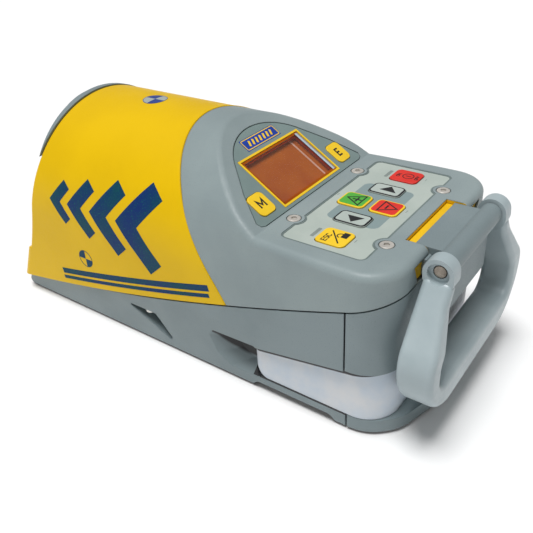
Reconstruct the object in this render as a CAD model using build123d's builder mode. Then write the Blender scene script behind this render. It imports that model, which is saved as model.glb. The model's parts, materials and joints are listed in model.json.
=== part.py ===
import os
from math import atan2, cos, hypot, radians, sin, sqrt, tan

from build123d import *

os.makedirs("parts", exist_ok=True)

# Sizes in millimetres. X is the user's right, Y runs along the beam, Z is up from the base.

# Body shell
body_half = 62.0
dome_rise = 32.8
wall = 3.0
seam_gap = 0.45
roof_margin = 5.0

# Nose of the yellow cover, as points (y, z) on one arc
nose_top_y = 117.0
nose_mid_y = 129.5
nose_mid_z = 72.0
nose_low_y = 157.0
nose_low_z = 11.0
nose_wall = 4.0
nose_round = 2.0
lip_step = 4.5
lip_top_z = 33.5
lip_round = 6.0

# Curved edge between the yellow and the grey cover, as points (y, z)
edge_top_y = 27.0
edge_mid_y = 0.4
edge_mid_drop = 4.1
edge_foot_y = -25.0

# Lower seam, as points (y, z) on one arc
seam_front = (152.0, 11.5)
seam_middle = (40.0, 34.7)
seam_rear_y = -95.0
seam_rear_drop = 22.0

# Rear cover
deck_height = 97.0
rear_face = -117.0
rear_corner = 20.0
blend_front = 8.0
blend_rear = -85.0
shoulder_radius = 14.0
shoulder_rise = 3.0
deck_round = 4.0
display_foot_y = -43.4
display_tilt = 32.08

# Lower housing
base_half = 58.5
taper_height = 40.0
base_round = 3.0
base_front = 168.0
base_corner = 8.0
floor_thick = 9.0
split_depth = 22.0
split_gap = 0.9
bulkhead_y = -28.0
bulkhead_top = 44.0
scoop_front = -6.0
scoop_depth = 10.0
scoop_run = 18.0
scoop_low = 5.5
scoop_top = 31.5
under_height = 5.0
under_depth = 8.0
ledge_drop = 3.5
case_screw_inset = 6.0
case_screw_y = 40.0
case_screw_radius = 2.0
case_screw_seat = 24.3

# Leg sockets in the base
socket_x = 42.0
socket_y = 84.0
socket_radius = 3.4
socket_depth = 7.0

# Key deck
panel_width = 99.4
panel_depth = 43.7
panel_y = -75.35
panel_thick = 1.4
panel_recess = 1.8
gasket_width = 0.9
key_rise = 0.3
key_travel = 0.8
key_gap = 0.3
flange_width = 1.0
flange_thick = 1.0
stem_radius = 3.0
stem_length = 1.1
key_round = 3.0
deck_screw_x = 32.3
deck_screw_front = -49.4
deck_screw_rear = -100.0
deck_screw_head = 3.5

# Display slope, heights measured up the slope from its foot
overlay_recess = 1.5
overlay_thick = 1.3
frame_width = 54.4
frame_height = 34.2
frame_band = 1.2
frame_centre = 20.0
soft_key_x = 37.5
soft_key_v = 11.5
soft_key_width = 11.8
soft_key_height = 13.3
badge_width = 29.6
badge_height = 7.6
badge_v = 43.1
screen_depth = 3.8
board_thick = 1.6

# Hinge and handle
hinge_reach = 10.0
hinge_drop = 4.6
pin_radius = 3.3
pin_half = 34.5
pin_fit = 0.05
bar_radius = 5.5
bar_half = 28.7
boss_radius = 7.3
boss_inner = 29.2
boss_outer = 37.0
counterbore_radius = 5.2
tab_gap = 4.6
tab_drop = 0.8
tab_thick = 3.5
plate_height = 31.4
plate_gap = 1.2
notch_half = 24.0
notch_depth = 11.7
slot_low_half = 31.0
slot_high_half = 39.0
slot_height = 17.4
slot_drop = 3.6
slot_gap = 0.3
strip_drop = 2.2
handle_gap = 3.0
handle_depth = 18.0
handle_half = 60.0
handle_drop = 70.4
handle_arm = 12.0
grip_height = 15.0
handle_round = 4.5
arm_drop = 3.5
arm_width = 7.2
handle_corner = 29.0
knee_drop = 34.3
inner_knee_drop = 38.8
arm_round = 5.0

# Battery
pack_inset = 0.1
pack_clearance = 1.5
pack_gap = 0.4
pack_front = -38.0
pack_rear_gap = 11.0
pack_low = 9.3
pack_top = 40.0
band_low = 10.0
band_front_top = 29.0
band_rear_top = 41.0
pack_corner = 18.0
pack_wall = 2.0
cell_radius = 12.75
cell_margin = 4.5
skid_reach = 10.5
skid_gap = 0.3
skid_corner = 24.0

# Dark receiver window under the hinge plate
receiver_width = 44.0
receiver_height = 14.0
receiver_z = 52.5
receiver_thick = 2.0

# Beam end
bezel_margin = 16.4
bezel_drop = 2.2
brow_front = 122.0
brow_rise = 0.4
brow_low = 101.0
bezel_back = 110.0
bezel_front = 128.0
hood_step = 4.6
hood_wall = 3.0
hood_front = 135.0
sleeve_wall = 3.0
window_thick = 3.0

# Gimbal
pivot_y = 81.0
beam_drop = 6.0
tube_radius = 14.0
tube_front = 27.0
tube_rear = 38.0
trunnion_radius = 4.0
yoke_arm = 6.0
yoke_gap = 3.5
yoke_plate = 8.0
base_plate = 6.0
pivot_radius = 6.0

# Values worked out from the sizes above
dome_top = deck_height + dome_rise
dome_axis = dome_top - body_half
edge_mid_z = deck_height - edge_mid_drop
seam_rear = (seam_rear_y, deck_height - seam_rear_drop)
split_y = rear_face + split_depth
narrow_half = min(body_half, base_half)
outer_half = max(body_half, base_half) + 5
case_screw_x = body_half - case_screw_inset
hinge_y = rear_face - hinge_reach
hinge_z = deck_height - hinge_drop
notch_front = rear_face + notch_depth
tab_front = notch_front - tab_gap
tab_top = deck_height - tab_drop
plate_low = hinge_z - plate_height
plate_front = rear_face - plate_gap
slot_high = deck_height - slot_drop
slot_low = slot_high - slot_height
handle_front = rear_face - handle_gap
handle_low = hinge_z - handle_drop
pack_half = narrow_half - pack_inset
pack_core_half = narrow_half - wall - pack_clearance
pack_rear = rear_face + pack_rear_gap
cell_length = pack_core_half - cell_margin
skid_rear = rear_face - skid_reach
skid_height = band_low - skid_gap
bezel_radius = body_half - bezel_margin
hood_radius = bezel_radius - hood_step
bezel_bore = hood_radius - hood_wall
bezel_z = dome_top - bezel_drop - bezel_radius
beam_z = bezel_z - beam_drop
roof = dome_top + roof_margin
tilt = radians(display_tilt)
slope_plane = Plane(
    origin=(0, display_foot_y, deck_height),
    x_dir=(1, 0, 0),
    z_dir=(0, -sin(tilt), cos(tilt)),
)


def circle_through(a, b, c):
    ax, ay = a
    bx, by = b
    cx, cy = c
    d = 2 * (ax * (by - cy) + bx * (cy - ay) + cx * (ay - by))
    a2 = ax * ax + ay * ay
    b2 = bx * bx + by * by
    c2 = cx * cx + cy * cy
    ux = (a2 * (by - cy) + b2 * (cy - ay) + c2 * (ay - by)) / d
    uy = (a2 * (cx - bx) + b2 * (ax - cx) + c2 * (bx - ax)) / d
    return ux, uy, hypot(ax - ux, ay - uy)


seam_y, seam_z, seam_r = circle_through(seam_front, seam_middle, seam_rear)


def seam_height(y):
    return seam_z - sqrt(seam_r ** 2 - (y - seam_y) ** 2)


def seam_points(y_start, y_end, rise):
    middle = (y_start + y_end) / 2
    return [(y, seam_height(y) + rise) for y in (y_start, middle, y_end)]


def arc_y(first, second, third, height):
    y, z, r = circle_through(first, second, third)
    side = 1 if third[0] > y else -1
    return y + side * sqrt(r ** 2 - (height - z) ** 2)


# The front and the yellow edge run on above the dome, so that they cross its crown cleanly
nose_roof_y = arc_y((nose_low_y, nose_low_z), (nose_mid_y, nose_mid_z), (nose_top_y, dome_top), roof)
edge_roof_y = arc_y(
    (edge_foot_y, seam_height(edge_foot_y) + seam_gap), (edge_mid_y, edge_mid_z),
    (edge_top_y, dome_top), roof,
)


def block(low, high, mode=Mode.ADD):
    centre = tuple((a + b) / 2 for a, b in zip(low, high))
    size = tuple(b - a for a, b in zip(low, high))
    with Locations(centre):
        Box(*size, mode=mode)


def save(builder, label):
    builder.part.label = label
    export_step(builder.part, f"parts/{label}.step")


def dome_blank(inset, front, rear):
    half = body_half - inset
    with BuildPart() as blank:
        with BuildSketch(Plane.XZ.offset(-front)):
            with Locations((0, dome_axis)):
                Circle(half)
            with Locations((0, (dome_axis - 20) / 2)):
                Rectangle(2 * half, dome_axis + 20)
        extrude(amount=front - rear)
    return blank.part


def dome_outline(inset):
    half = body_half - inset
    ring = [(half * cos(radians(a)), dome_axis + half * sin(radians(a))) for a in (0, 25, 50)]
    return half, ring, dome_top - inset


def square_outline(inset):
    half = body_half - inset
    top = dome_top - inset
    radius = shoulder_radius - inset
    spring = deck_height + shoulder_rise + inset
    reach = half - radius
    drop = top - spring - radius
    fall = (reach ** 2 - drop ** 2) / (2 * drop)
    length = hypot(reach, fall)
    ux, uz = reach / length, fall / length
    mx, mz = 1 + ux, uz
    scale = radius / hypot(mx, mz)
    start = (half, spring)
    middle = (reach + mx * scale, spring + mz * scale)
    end = (reach + radius * ux, spring + radius * uz)
    return half, [start, middle, end], top


def arch_face(y, outline):
    half, ring, top = outline
    low = 30.0
    left = [(-x, z) for x, z in ring]
    with BuildSketch(Plane.XZ.offset(-y)) as sketch:
        with BuildLine():
            Line((-half, low), (half, low))
            Line((half, low), ring[0])
            ThreePointArc(*ring)
            ThreePointArc(ring[2], (0, top), left[2])
            ThreePointArc(left[2], left[1], left[0])
            Line(left[0], (-half, low))
        make_face()
    return sketch.sketch


def rear_blank(inset):
    front_face = arch_face(blend_front, dome_outline(inset))
    rear_arch = arch_face(blend_rear, square_outline(inset))
    with BuildPart() as blank:
        extrude(front_face, amount=60, dir=(0, 1, 0))
        loft([front_face, rear_arch], ruled=True)
        extrude(rear_arch, amount=blend_rear - rear_face - inset, dir=(0, -1, 0))
    with BuildPart() as plan:
        with BuildSketch(Plane.XY):
            with BuildLine():
                half = body_half
                back = rear_face + inset
                radius = rear_corner - inset
                FilletPolyline(
                    (half, 100), (half, back), (-half, back), (-half, 100),
                    radius=radius, close=False,
                )
                Line((-half, 100), (half, 100))
            make_face()
        extrude(amount=roof + 20)
    return blank.part & plan.part


# Yellow cover: dome, concave nose, curved rear edge and lower seam
cover_front = base_front + 7
cover_back = edge_foot_y - 37
cover_blank = dome_blank(0, cover_front, edge_foot_y - 17)
cover_core = dome_blank(wall, cover_front, cover_back)
sleeve_core = dome_blank(wall / 2, cover_front, 0)
lip_foot = nose_low_y + lip_step

with BuildPart() as nose_lip:
    with BuildSketch(Plane.YZ):
        with BuildLine():
            lip_back = nose_low_y - 20
            foot = seam_points(lip_foot, lip_back, seam_gap)
            lip_edge = lip_foot - 0.49 * (lip_top_z - foot[0][1])
            Polyline(
                foot[0], (lip_edge, lip_top_z), (lip_edge - lip_step - 2, lip_top_z + 3),
                (lip_back, lip_top_z), foot[2],
            )
            ThreePointArc(foot[2], foot[1], foot[0])
        make_face()
    extrude(amount=body_half, both=True)
    front_side = [
        e for e in nose_lip.edges()
        if abs(abs(e.center().X) - body_half) < 0.01 and e.center().Y > lip_edge + 1
        and abs(e.tangent_at(0.5).Z) > 0.5
    ]
    fillet(front_side, lip_round)

with BuildPart() as cover_cavity:
    add(cover_core)
    with BuildSketch(Plane.YZ):
        with BuildLine():
            inner_top = nose_top_y - nose_wall
            inner_low = nose_low_y - nose_wall
            Line((inner_top, roof), (inner_top, dome_top))
            ThreePointArc(
                (inner_top, dome_top), (nose_mid_y - nose_wall, nose_mid_z), (inner_low, nose_low_z)
            )
            Polyline(
                (inner_low, nose_low_z), (inner_low, -5), (cover_back, -5), (cover_back, roof),
                (inner_top, roof),
            )
        make_face()
    extrude(amount=body_half, both=True, mode=Mode.INTERSECT)

with BuildPart() as nose_sleeve:
    with BuildSketch(Plane.XZ.offset(-bezel_back - 4)):
        with Locations((0, bezel_z)):
            Circle(bezel_radius + 0.1 + sleeve_wall)
    extrude(amount=-60)
    with BuildSketch(Plane.YZ):
        with BuildLine():
            Line((nose_top_y - 1, roof), (nose_top_y - 1, dome_top))
            ThreePointArc(
                (nose_top_y - 1, dome_top), (nose_mid_y - 1, nose_mid_z), (nose_low_y - 1, nose_low_z)
            )
            Polyline((nose_low_y - 1, nose_low_z), (0, nose_low_z), (0, roof), (nose_top_y - 1, roof))
        make_face()
    extrude(amount=body_half, both=True, mode=Mode.INTERSECT)
    add(sleeve_core, mode=Mode.INTERSECT)

screw_spots = [(x, case_screw_y) for x in (-case_screw_x, case_screw_x)]
boss_low = seam_height(case_screw_y) + 2

with BuildPart() as yellow_cover:
    add(cover_blank)
    with BuildSketch(Plane.YZ):
        with BuildLine():
            seam = seam_points(nose_low_y, edge_foot_y, seam_gap)
            ThreePointArc((nose_roof_y, roof), (nose_mid_y, nose_mid_z), seam[0])
            ThreePointArc(*seam)
            ThreePointArc(seam[2], (edge_mid_y, edge_mid_z), (edge_roof_y, roof))
            Line((edge_roof_y, roof), (nose_roof_y, roof))
        make_face()
    extrude(amount=body_half + 5, both=True, mode=Mode.INTERSECT)
    nose_face = yellow_cover.faces().sort_by(Axis.Y)[-1]
    fillet([e for e in nose_face.edges() if e.center().Z > nose_low_z + 8], nose_round)
    add(nose_lip.part)
    add(cover_cavity.part, mode=Mode.SUBTRACT)
    add(nose_sleeve.part)
    with BuildSketch(Plane.XZ.offset(-bezel_back)):
        with Locations((0, bezel_z)):
            Circle(bezel_radius + 0.1)
    extrude(amount=-100, mode=Mode.SUBTRACT)
    with BuildSketch(Plane.XY.offset(boss_low)):
        with Locations(*screw_spots):
            Circle(4.5)
    extrude(amount=16)
    with BuildSketch(Plane.XY.offset(boss_low)):
        with Locations(*screw_spots):
            Circle(case_screw_radius + 0.1)
    extrude(amount=12, mode=Mode.SUBTRACT)
save(yellow_cover, "yellow_cover")

# Rear cover: dome that squares off into the key deck, with the display slope
outer_rear = rear_blank(0)
inner_rear = rear_blank(wall)
slope_top_y = display_foot_y + (roof - deck_height) / tan(tilt)
inner_foot_y = display_foot_y + wall * tan(tilt / 2)
inner_deck = deck_height - wall
inner_slope_y = inner_foot_y + (roof - inner_deck) / tan(tilt)

with BuildPart() as rear_cavity:
    add(inner_rear)
    with BuildSketch(Plane.YZ):
        Polygon(
            (90, 20), (90, roof), (inner_slope_y, roof), (inner_foot_y, inner_deck),
            (rear_face + wall, inner_deck), (rear_face + wall, 20), align=None,
        )
    extrude(amount=body_half, both=True, mode=Mode.INTERSECT)


def panel_outline(grow):
    with BuildSketch(Plane.XY) as outline:
        with Locations((0, panel_y)):
            RectangleRounded(panel_width, panel_depth, 3)
        with Locations(*[(x, y) for x in (-deck_screw_x, deck_screw_x)
                         for y in (deck_screw_front, deck_screw_rear)]):
            Circle(6.5, mode=Mode.SUBTRACT)
        if grow > 0:
            offset(amount=grow, kind=Kind.ARC)
    return outline.sketch


def overlay_outline(grow):
    with BuildSketch(Plane.XY) as outline:
        with BuildLine():
            side = [(46.5, 0.9), (49.1, 1.9), (50, 4.4), (41.3, 20.4), (28.7, 37.9)]
            mirrored = [(-x, v) for x, v in reversed(side)]
            Polyline(*side)
            ThreePointArc(side[-1], (0, 51.8), mirrored[0])
            Polyline(*mirrored)
            Line(mirrored[-1], side[0])
        make_face()
        offset(amount=grow, kind=Kind.ARC)
    return outline.sketch


deck_plane = Plane.XY.offset(deck_height)
deck_keys = {
    "key_escape": (-38.4, -76.4, 14.2, 15.8),
    "key_power": (38.4, -76.4, 14.2, 15.8),
    "key_left": (-18.2, -74.7, 12.0, 17.8),
    "key_right": (18.2, -74.7, 12.0, 17.8),
    "key_plus": (0.0, -65.7, 14.4, 15.2),
    "key_minus": (0.0, -83.9, 14.4, 15.2),
}
soft_keys = {
    "key_menu": (-soft_key_x, soft_key_v, soft_key_width, soft_key_height),
    "key_enter": (soft_key_x, soft_key_v, soft_key_width, soft_key_height),
}
deck_screws = [(x, y) for x in (-deck_screw_x, deck_screw_x)
               for y in (deck_screw_front, deck_screw_rear)]
deck_flange = -panel_recess - 0.1
soft_flange = -wall - 0.1
key_reach = flange_thick + stem_length + key_travel + 0.1
switch_height = 1.0
deck_board_top = deck_flange - key_reach - switch_height
soft_board_top = soft_flange - key_reach - switch_height
post_x = panel_width / 2 + 0.8
deck_posts = [(x, y) for x in (-post_x, post_x) for y in (panel_y - 17.5, panel_y + 17.5)]
soft_posts = [(-47.5, 8.0), (47.5, 8.0), (-33.0, 22.5), (33.0, 22.5)]

with BuildPart() as deck_half:
    add(outer_rear)
    with BuildSketch(Plane.YZ):
        with BuildLine():
            seam = seam_points(display_foot_y, rear_face - 5, seam_gap)
            Polyline(
                seam[0], (display_foot_y, deck_height), (rear_face - 5, deck_height), seam[2],
            )
            ThreePointArc(seam[2], seam[1], seam[0])
        make_face()
    extrude(amount=body_half + 5, both=True, mode=Mode.INTERSECT)
    deck_face = deck_half.faces().filter_by(GeomType.PLANE).sort_by(Axis.Z)[-1]
    fillet([e for e in deck_face.edges() if e.center().Y < display_foot_y - 0.1], deck_round)

with BuildPart() as slope_half:
    add(outer_rear)
    with BuildSketch(Plane.YZ):
        with BuildLine():
            seam = seam_points(edge_foot_y - seam_gap, display_foot_y, seam_gap)
            edge_top = (edge_roof_y - seam_gap, roof)
            ThreePointArc(seam[0], (edge_mid_y - seam_gap, edge_mid_z), edge_top)
            Polyline(edge_top, (slope_top_y, roof), (display_foot_y, deck_height), seam[2])
            ThreePointArc(seam[2], seam[1], seam[0])
        make_face()
    extrude(amount=body_half + 5, both=True, mode=Mode.INTERSECT)
    slope_face = [
        f for f in slope_half.faces()
        if f.geom_type == GeomType.PLANE and f.normal_at().dot(slope_plane.z_dir) > 0.999
    ][0]
    fillet(
        [e for e in slope_face.edges() if abs(e.center().X) > 25 and e.center().Z > deck_height + 0.1],
        deck_round,
    )

with BuildPart() as rear_cover:
    add(deck_half.part)
    add(slope_half.part)
    add(rear_cavity.part, mode=Mode.SUBTRACT)
    with BuildSketch(deck_plane.offset(-panel_recess)):
        add(panel_outline(gasket_width + 0.1))
    extrude(amount=panel_recess + 1, mode=Mode.SUBTRACT)
    with BuildSketch(deck_plane.offset(-wall - 1)):
        with Locations((0, panel_y)):
            RectangleRounded(panel_width - 5.4, panel_depth - 5.7, 3)
        with Locations(*deck_screws):
            Circle(8, mode=Mode.SUBTRACT)
    extrude(amount=wall + 1, mode=Mode.SUBTRACT)
    with BuildSketch(slope_plane.offset(-overlay_recess)):
        add(overlay_outline(0.3))
    extrude(amount=overlay_recess + 6, mode=Mode.SUBTRACT)
    with BuildSketch(slope_plane.offset(-wall - 1)):
        with Locations((0, frame_centre)):
            Rectangle(frame_width - 5, frame_height - 5)
        with Locations(*[(x, v) for x, v, w, h in soft_keys.values()]):
            RectangleRounded(soft_key_width + 2 * key_gap, soft_key_height + 2 * key_gap, key_round)
    extrude(amount=wall + 1, mode=Mode.SUBTRACT)
    with BuildSketch(deck_plane.offset(-wall - 1)):
        with Locations((0, (notch_front + rear_face - 10) / 2)):
            Rectangle(2 * notch_half, notch_front - rear_face + 10)
    extrude(amount=wall + 3, mode=Mode.SUBTRACT)
    with BuildSketch(Plane.XZ.offset(-rear_face - 4)):
        Polygon(
            (-slot_low_half, slot_low), (slot_low_half, slot_low), (slot_high_half, slot_high),
            (-slot_high_half, slot_high), align=None,
        )
    extrude(amount=10, mode=Mode.SUBTRACT)
    with BuildSketch(deck_plane.offset(-wall)):
        with Locations(*deck_screws):
            Circle(4)
    extrude(amount=-7)
    with BuildSketch(deck_plane.offset(-wall)):
        with Locations(*deck_posts):
            Circle(2.3)
    extrude(amount=deck_board_top + wall)
    with BuildSketch(slope_plane.offset(-wall)):
        with Locations(*soft_posts):
            Circle(2.3)
    extrude(amount=soft_board_top + wall)
    with BuildSketch(deck_plane.offset(1)):
        with Locations(*deck_screws):
            Circle(deck_screw_head + 0.4)
    extrude(amount=-2.2, mode=Mode.SUBTRACT)
    with BuildSketch(deck_plane.offset(1)):
        with Locations(*deck_screws):
            Circle(1.7)
    extrude(amount=-10, mode=Mode.SUBTRACT)
save(rear_cover, "rear_cover")

# Lower housing: tapered sides, rising seam, battery bay at the rear
scoop_rear = bulkhead_y - 14


def scoop_face(x, back, rise):
    with BuildSketch(Plane.YZ.offset(x)) as face:
        with BuildLine():
            FilletPolyline(
                (scoop_rear, scoop_top + 0.5), (scoop_front - 3 - back, scoop_top - 0.5),
                (scoop_front - back, scoop_top - 5), (scoop_front - 2.5 - back, scoop_low + 8 + 0.6 * rise),
                (scoop_front - 10 - back, scoop_low + rise), (scoop_rear, scoop_low + rise),
                radius=2, close=True,
            )
        make_face()
    return face.sketch


with BuildPart() as scoop:
    loft([scoop_face(body_half + 1, 0, 0), scoop_face(body_half - scoop_depth, scoop_run, 9.5)], ruled=True)

# the housing's underside lifts off the ground along the battery, and its ledge slopes outward
with BuildPart() as under_cut:
    with BuildSketch(Plane.YZ.offset(base_half - under_depth)):
        with BuildLine():
            FilletPolyline(
                (bulkhead_y - 2, -4), (bulkhead_y - 12, under_height), (split_y + 9, under_height),
                (split_y + 1.5, -4), radius=4, close=True,
            )
        make_face()
    extrude(amount=outer_half - base_half + under_depth)

with BuildPart() as ledge_cut:
    with BuildSketch(Plane.XZ.offset(-pack_front + 4)):
        Polygon(
            (pack_half - 0.6, band_low - 0.4), (body_half + 3, band_low - 0.4 - ledge_drop),
            (body_half + 3, band_low + 2), (pack_half - 0.6, band_low + 2), align=None,
        )
    extrude(amount=pack_front - 4 - split_y + 5)

with BuildPart() as bay_window:
    with BuildSketch(Plane.YZ.offset(pack_core_half + 1)):
        Polygon(
            (pack_front + 0.6, band_low + 3), (pack_front + 0.6, band_front_top + 1.2),
            (split_y - 5, band_rear_top + 0.6), (split_y - 5, band_low - 0.4),
            (pack_front - 2, band_low - 0.4), align=None,
        )
    extrude(amount=outer_half - pack_core_half - 1)

with BuildPart() as screw_scoop:
    with BuildSketch(Plane.YZ.offset(body_half - 10)):
        with BuildLine():
            FilletPolyline(
                (case_screw_y + 16, case_screw_seat), (case_screw_y - 8, case_screw_seat),
                (case_screw_y - 22, 4), radius=(1, 2, 2), close=True,
            )
        make_face()
    extrude(amount=14)

with BuildPart() as housing_cavity:
    with BuildSketch(Plane.XZ.offset(-nose_low_y + nose_wall + 1)):
        Polygon(
            (wall - base_half, floor_thick), (base_half - wall, floor_thick),
            (body_half - wall, taper_height), (body_half - wall, deck_height + 3),
            (wall - body_half, deck_height + 3), (wall - body_half, taper_height), align=None,
        )
    extrude(amount=nose_low_y - nose_wall - 1 - split_y + 1)
    block((-outer_half, bulkhead_y - 3, 0), (outer_half, bulkhead_y, bulkhead_top), mode=Mode.SUBTRACT)
    for side in (-1, 1):
        pad = sorted((side * (body_half - scoop_depth - 6), side * outer_half))
        block((pad[0], pack_front + pack_gap, 0),
              (pad[1], scoop_front + 3, scoop_top + 5), mode=Mode.SUBTRACT)
        screw_pad = sorted((side * (case_screw_x - 7), side * outer_half))
        block((screw_pad[0], case_screw_y - 25, 0),
              (screw_pad[1], case_screw_y + 20, seam_height(case_screw_y + 20) - 1), mode=Mode.SUBTRACT)

with BuildPart() as lower_housing:
    with BuildSketch(Plane.XZ.offset(-base_front - 5)):
        Polygon(
            (-base_half, 0), (base_half, 0), (body_half, taper_height), (body_half, deck_height + 3),
            (-body_half, deck_height + 3), (-body_half, taper_height), align=None,
        )
    extrude(amount=base_front + 5 - split_y)
    with BuildSketch(Plane.YZ):
        with BuildLine():
            seam = seam_points(lip_foot, split_y, -seam_gap)
            Polyline((split_y, 0), (base_front, 0), seam[0])
            ThreePointArc(*seam)
            Line(seam[2], (split_y, 0))
        make_face()
    extrude(amount=body_half + 5, both=True, mode=Mode.INTERSECT)
    front_corner = [
        e for e in lower_housing.edges()
        if e.center().Y > lip_foot - 1 and abs(e.center().X) > base_half - 1
        and abs(e.tangent_at(0.5).Z) > 0.5
    ]
    fillet(front_corner, base_corner)
    under = [
        e for e in lower_housing.edges()
        if abs(e.center().Z) < 0.01 and e.center().Y > split_y + 1
    ]
    fillet(under, base_round)
    add(housing_cavity.part, mode=Mode.SUBTRACT)
    for part in (scoop.part, bay_window.part, screw_scoop.part, under_cut.part, ledge_cut.part):
        add(part, mode=Mode.SUBTRACT)
        add(mirror(part, about=Plane.YZ, mode=Mode.PRIVATE), mode=Mode.SUBTRACT)
    with BuildSketch(Plane.XY.offset(case_screw_seat - 2)):
        with Locations(*screw_spots):
            Circle(case_screw_radius + 0.2)
    extrude(amount=20, mode=Mode.SUBTRACT)
    with BuildSketch(Plane.XY):
        with Locations(*[(x, y) for x in (-socket_x, socket_x) for y in (-socket_y, socket_y)]):
            Circle(socket_radius + 2.15)
    extrude(amount=floor_thick - 1, mode=Mode.SUBTRACT)
save(lower_housing, "lower_housing")

with BuildPart() as leg_sockets:
    with BuildSketch(Plane.XY):
        with Locations(*[(x, y) for x in (-socket_x, socket_x) for y in (-socket_y, socket_y)]):
            Circle(socket_radius + 2.1)
    extrude(amount=floor_thick - 1)
    with BuildSketch(Plane.XY):
        with Locations(*[(x, y) for x in (-socket_x, socket_x) for y in (-socket_y, socket_y)]):
            Circle(socket_radius)
    extrude(amount=socket_depth, mode=Mode.SUBTRACT)
save(leg_sockets, "leg_sockets")

with BuildPart() as case_screws:
    with BuildSketch(Plane.XY.offset(case_screw_seat)):
        with Locations(*screw_spots):
            Circle(case_screw_radius * 1.8)
    extrude(amount=-3.2)
    fillet(case_screws.edges().group_by(Axis.Z)[0], 0.8)
    with BuildSketch(Plane.XY.offset(case_screw_seat)):
        with Locations(*screw_spots):
            Circle(case_screw_radius)
    extrude(amount=boss_low + 11 - case_screw_seat)
save(case_screws, "case_screws")

# Battery: end cap above, pale pack in the side recess, skid below
with BuildPart() as end_cap:
    with BuildSketch(Plane.XY.offset(band_rear_top + 0.5)):
        with BuildLine():
            FilletPolyline(
                (body_half, split_y - split_gap), (body_half, rear_face), (-body_half, rear_face),
                (-body_half, split_y - split_gap), radius=rear_corner,
            )
            Line((-body_half, split_y - split_gap), (body_half, split_y - split_gap))
        make_face()
    extrude(amount=60)
    with BuildSketch(Plane.YZ):
        with BuildLine():
            seam = seam_points(split_y + 5, rear_face - 5, -seam_gap)
            Polyline(seam[2], (rear_face - 5, 20), (split_y + 5, 20), seam[0])
            ThreePointArc(*seam)
        make_face()
    extrude(amount=body_half + 5, both=True, mode=Mode.INTERSECT)
    with BuildSketch(Plane.XY.offset(band_rear_top + 0.5 + wall)):
        with BuildLine():
            half = body_half - wall
            FilletPolyline(
                (half, split_y + 1), (half, rear_face + wall), (-half, rear_face + wall),
                (-half, split_y + 1), radius=rear_corner - wall,
            )
            Line((-half, split_y + 1), (half, split_y + 1))
        make_face()
    extrude(amount=60, mode=Mode.SUBTRACT)
    with BuildSketch(Plane.XZ.offset(-rear_face - receiver_thick)):
        with Locations((0, receiver_z)):
            RectangleRounded(receiver_width + 0.4, receiver_height + 0.4, 3)
    extrude(amount=5, mode=Mode.SUBTRACT)
save(end_cap, "end_cap")

with BuildPart() as receiver_window:
    with BuildSketch(Plane.XZ.offset(-rear_face - receiver_thick)):
        with Locations((0, receiver_z)):
            RectangleRounded(receiver_width, receiver_height, 2.8)
    extrude(amount=receiver_thick - 0.3)
save(receiver_window, "receiver_window")

with BuildPart() as battery_pack:
    with BuildSketch(Plane.YZ):
        with BuildLine():
            FilletPolyline(
                (rear_face + 1.5, band_low), (pack_front - 6.5, band_low), (pack_front - 1, band_low + 6.5),
                (pack_front, band_front_top - 3), (pack_front - 1.5, band_front_top + 0.4),
                (split_y - 5, band_rear_top - 0.5), radius=(6, 6, 1.2, 1.2),
            )
            Polyline(
                (split_y - 5, band_rear_top - 0.5), (rear_face + 1.5, band_rear_top),
                (rear_face + 1.5, band_low),
            )
        make_face()
    extrude(amount=pack_half, both=True)
    with BuildSketch(Plane.XY):
        with BuildLine():
            FilletPolyline(
                (pack_half, pack_front), (pack_half, rear_face + 1.5), (-pack_half, rear_face + 1.5),
                (-pack_half, pack_front), radius=(5, pack_corner, pack_corner, 5), close=True,
            )
        make_face()
    extrude(amount=80, mode=Mode.INTERSECT)
    block((-pack_core_half, pack_rear, pack_low), (pack_core_half, pack_front - 4, pack_top))
    block(
        (-pack_core_half + pack_wall, pack_rear + pack_wall, pack_low + pack_wall),
        (pack_core_half - pack_wall, pack_front - 6, pack_top - pack_wall), mode=Mode.SUBTRACT,
    )
save(battery_pack, "battery_pack")

cell_z = pack_low + pack_wall + cell_radius + 0.1
cell_rows = (-60.0, -88.5)
with BuildPart() as battery_cells:
    for side in (-1, 1):
        with Locations(*[(side * (cell_length / 2 + 0.75), y, cell_z) for y in cell_rows]):
            Cylinder(cell_radius, cell_length, rotation=(0, 90, 0))
        with Locations(*[(side * 0.5, y, cell_z) for y in cell_rows]):
            Cylinder(3, 0.5, rotation=(0, 90, 0))
save(battery_cells, "battery_cells")

with BuildPart() as cell_links:
    for side in (-1, 1):
        low, high = sorted((side * (cell_length + 0.8), side * (pack_core_half - pack_wall - 0.05)))
        block((low, -100, cell_z - 6), (high, -50, cell_z + 6))
save(cell_links, "cell_links")

with BuildPart() as battery_contacts:
    for side in (-1, 1):
        low, high = sorted((side * 12, side * 20))
        block((low, pack_front + 0.1, 17), (high, bulkhead_y - 3, 25))
        block((low, bulkhead_y - 4.2, 13), (high, bulkhead_y - 3, 34))
save(battery_contacts, "battery_contacts")

with BuildPart() as rear_skid:
    with BuildSketch(Plane.XY):
        with BuildLine():
            side_points = [
                (narrow_half + 0.4, split_y - split_gap), (narrow_half - 0.6, split_y - 12),
                (narrow_half - 12.5, split_y - 24.5), (narrow_half - 38.5, skid_rear),
            ]
            other = [(-x, y) for x, y in reversed(side_points)]
            FilletPolyline(*side_points, *other, radius=skid_corner)
            Line(other[-1], side_points[0])
        make_face()
    extrude(amount=skid_height)
    skid_edges = [
        e for e in rear_skid.edges()
        if abs(e.center().Z) < 0.01 and e.center().Y < split_y - 1
    ]
    fillet(skid_edges, base_round)
    block((-pack_core_half - 0.5, pack_rear - 0.5, pack_low - 0.3), (pack_core_half + 0.5, split_y + 1, 20),
          mode=Mode.SUBTRACT)
save(rear_skid, "rear_skid")

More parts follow.
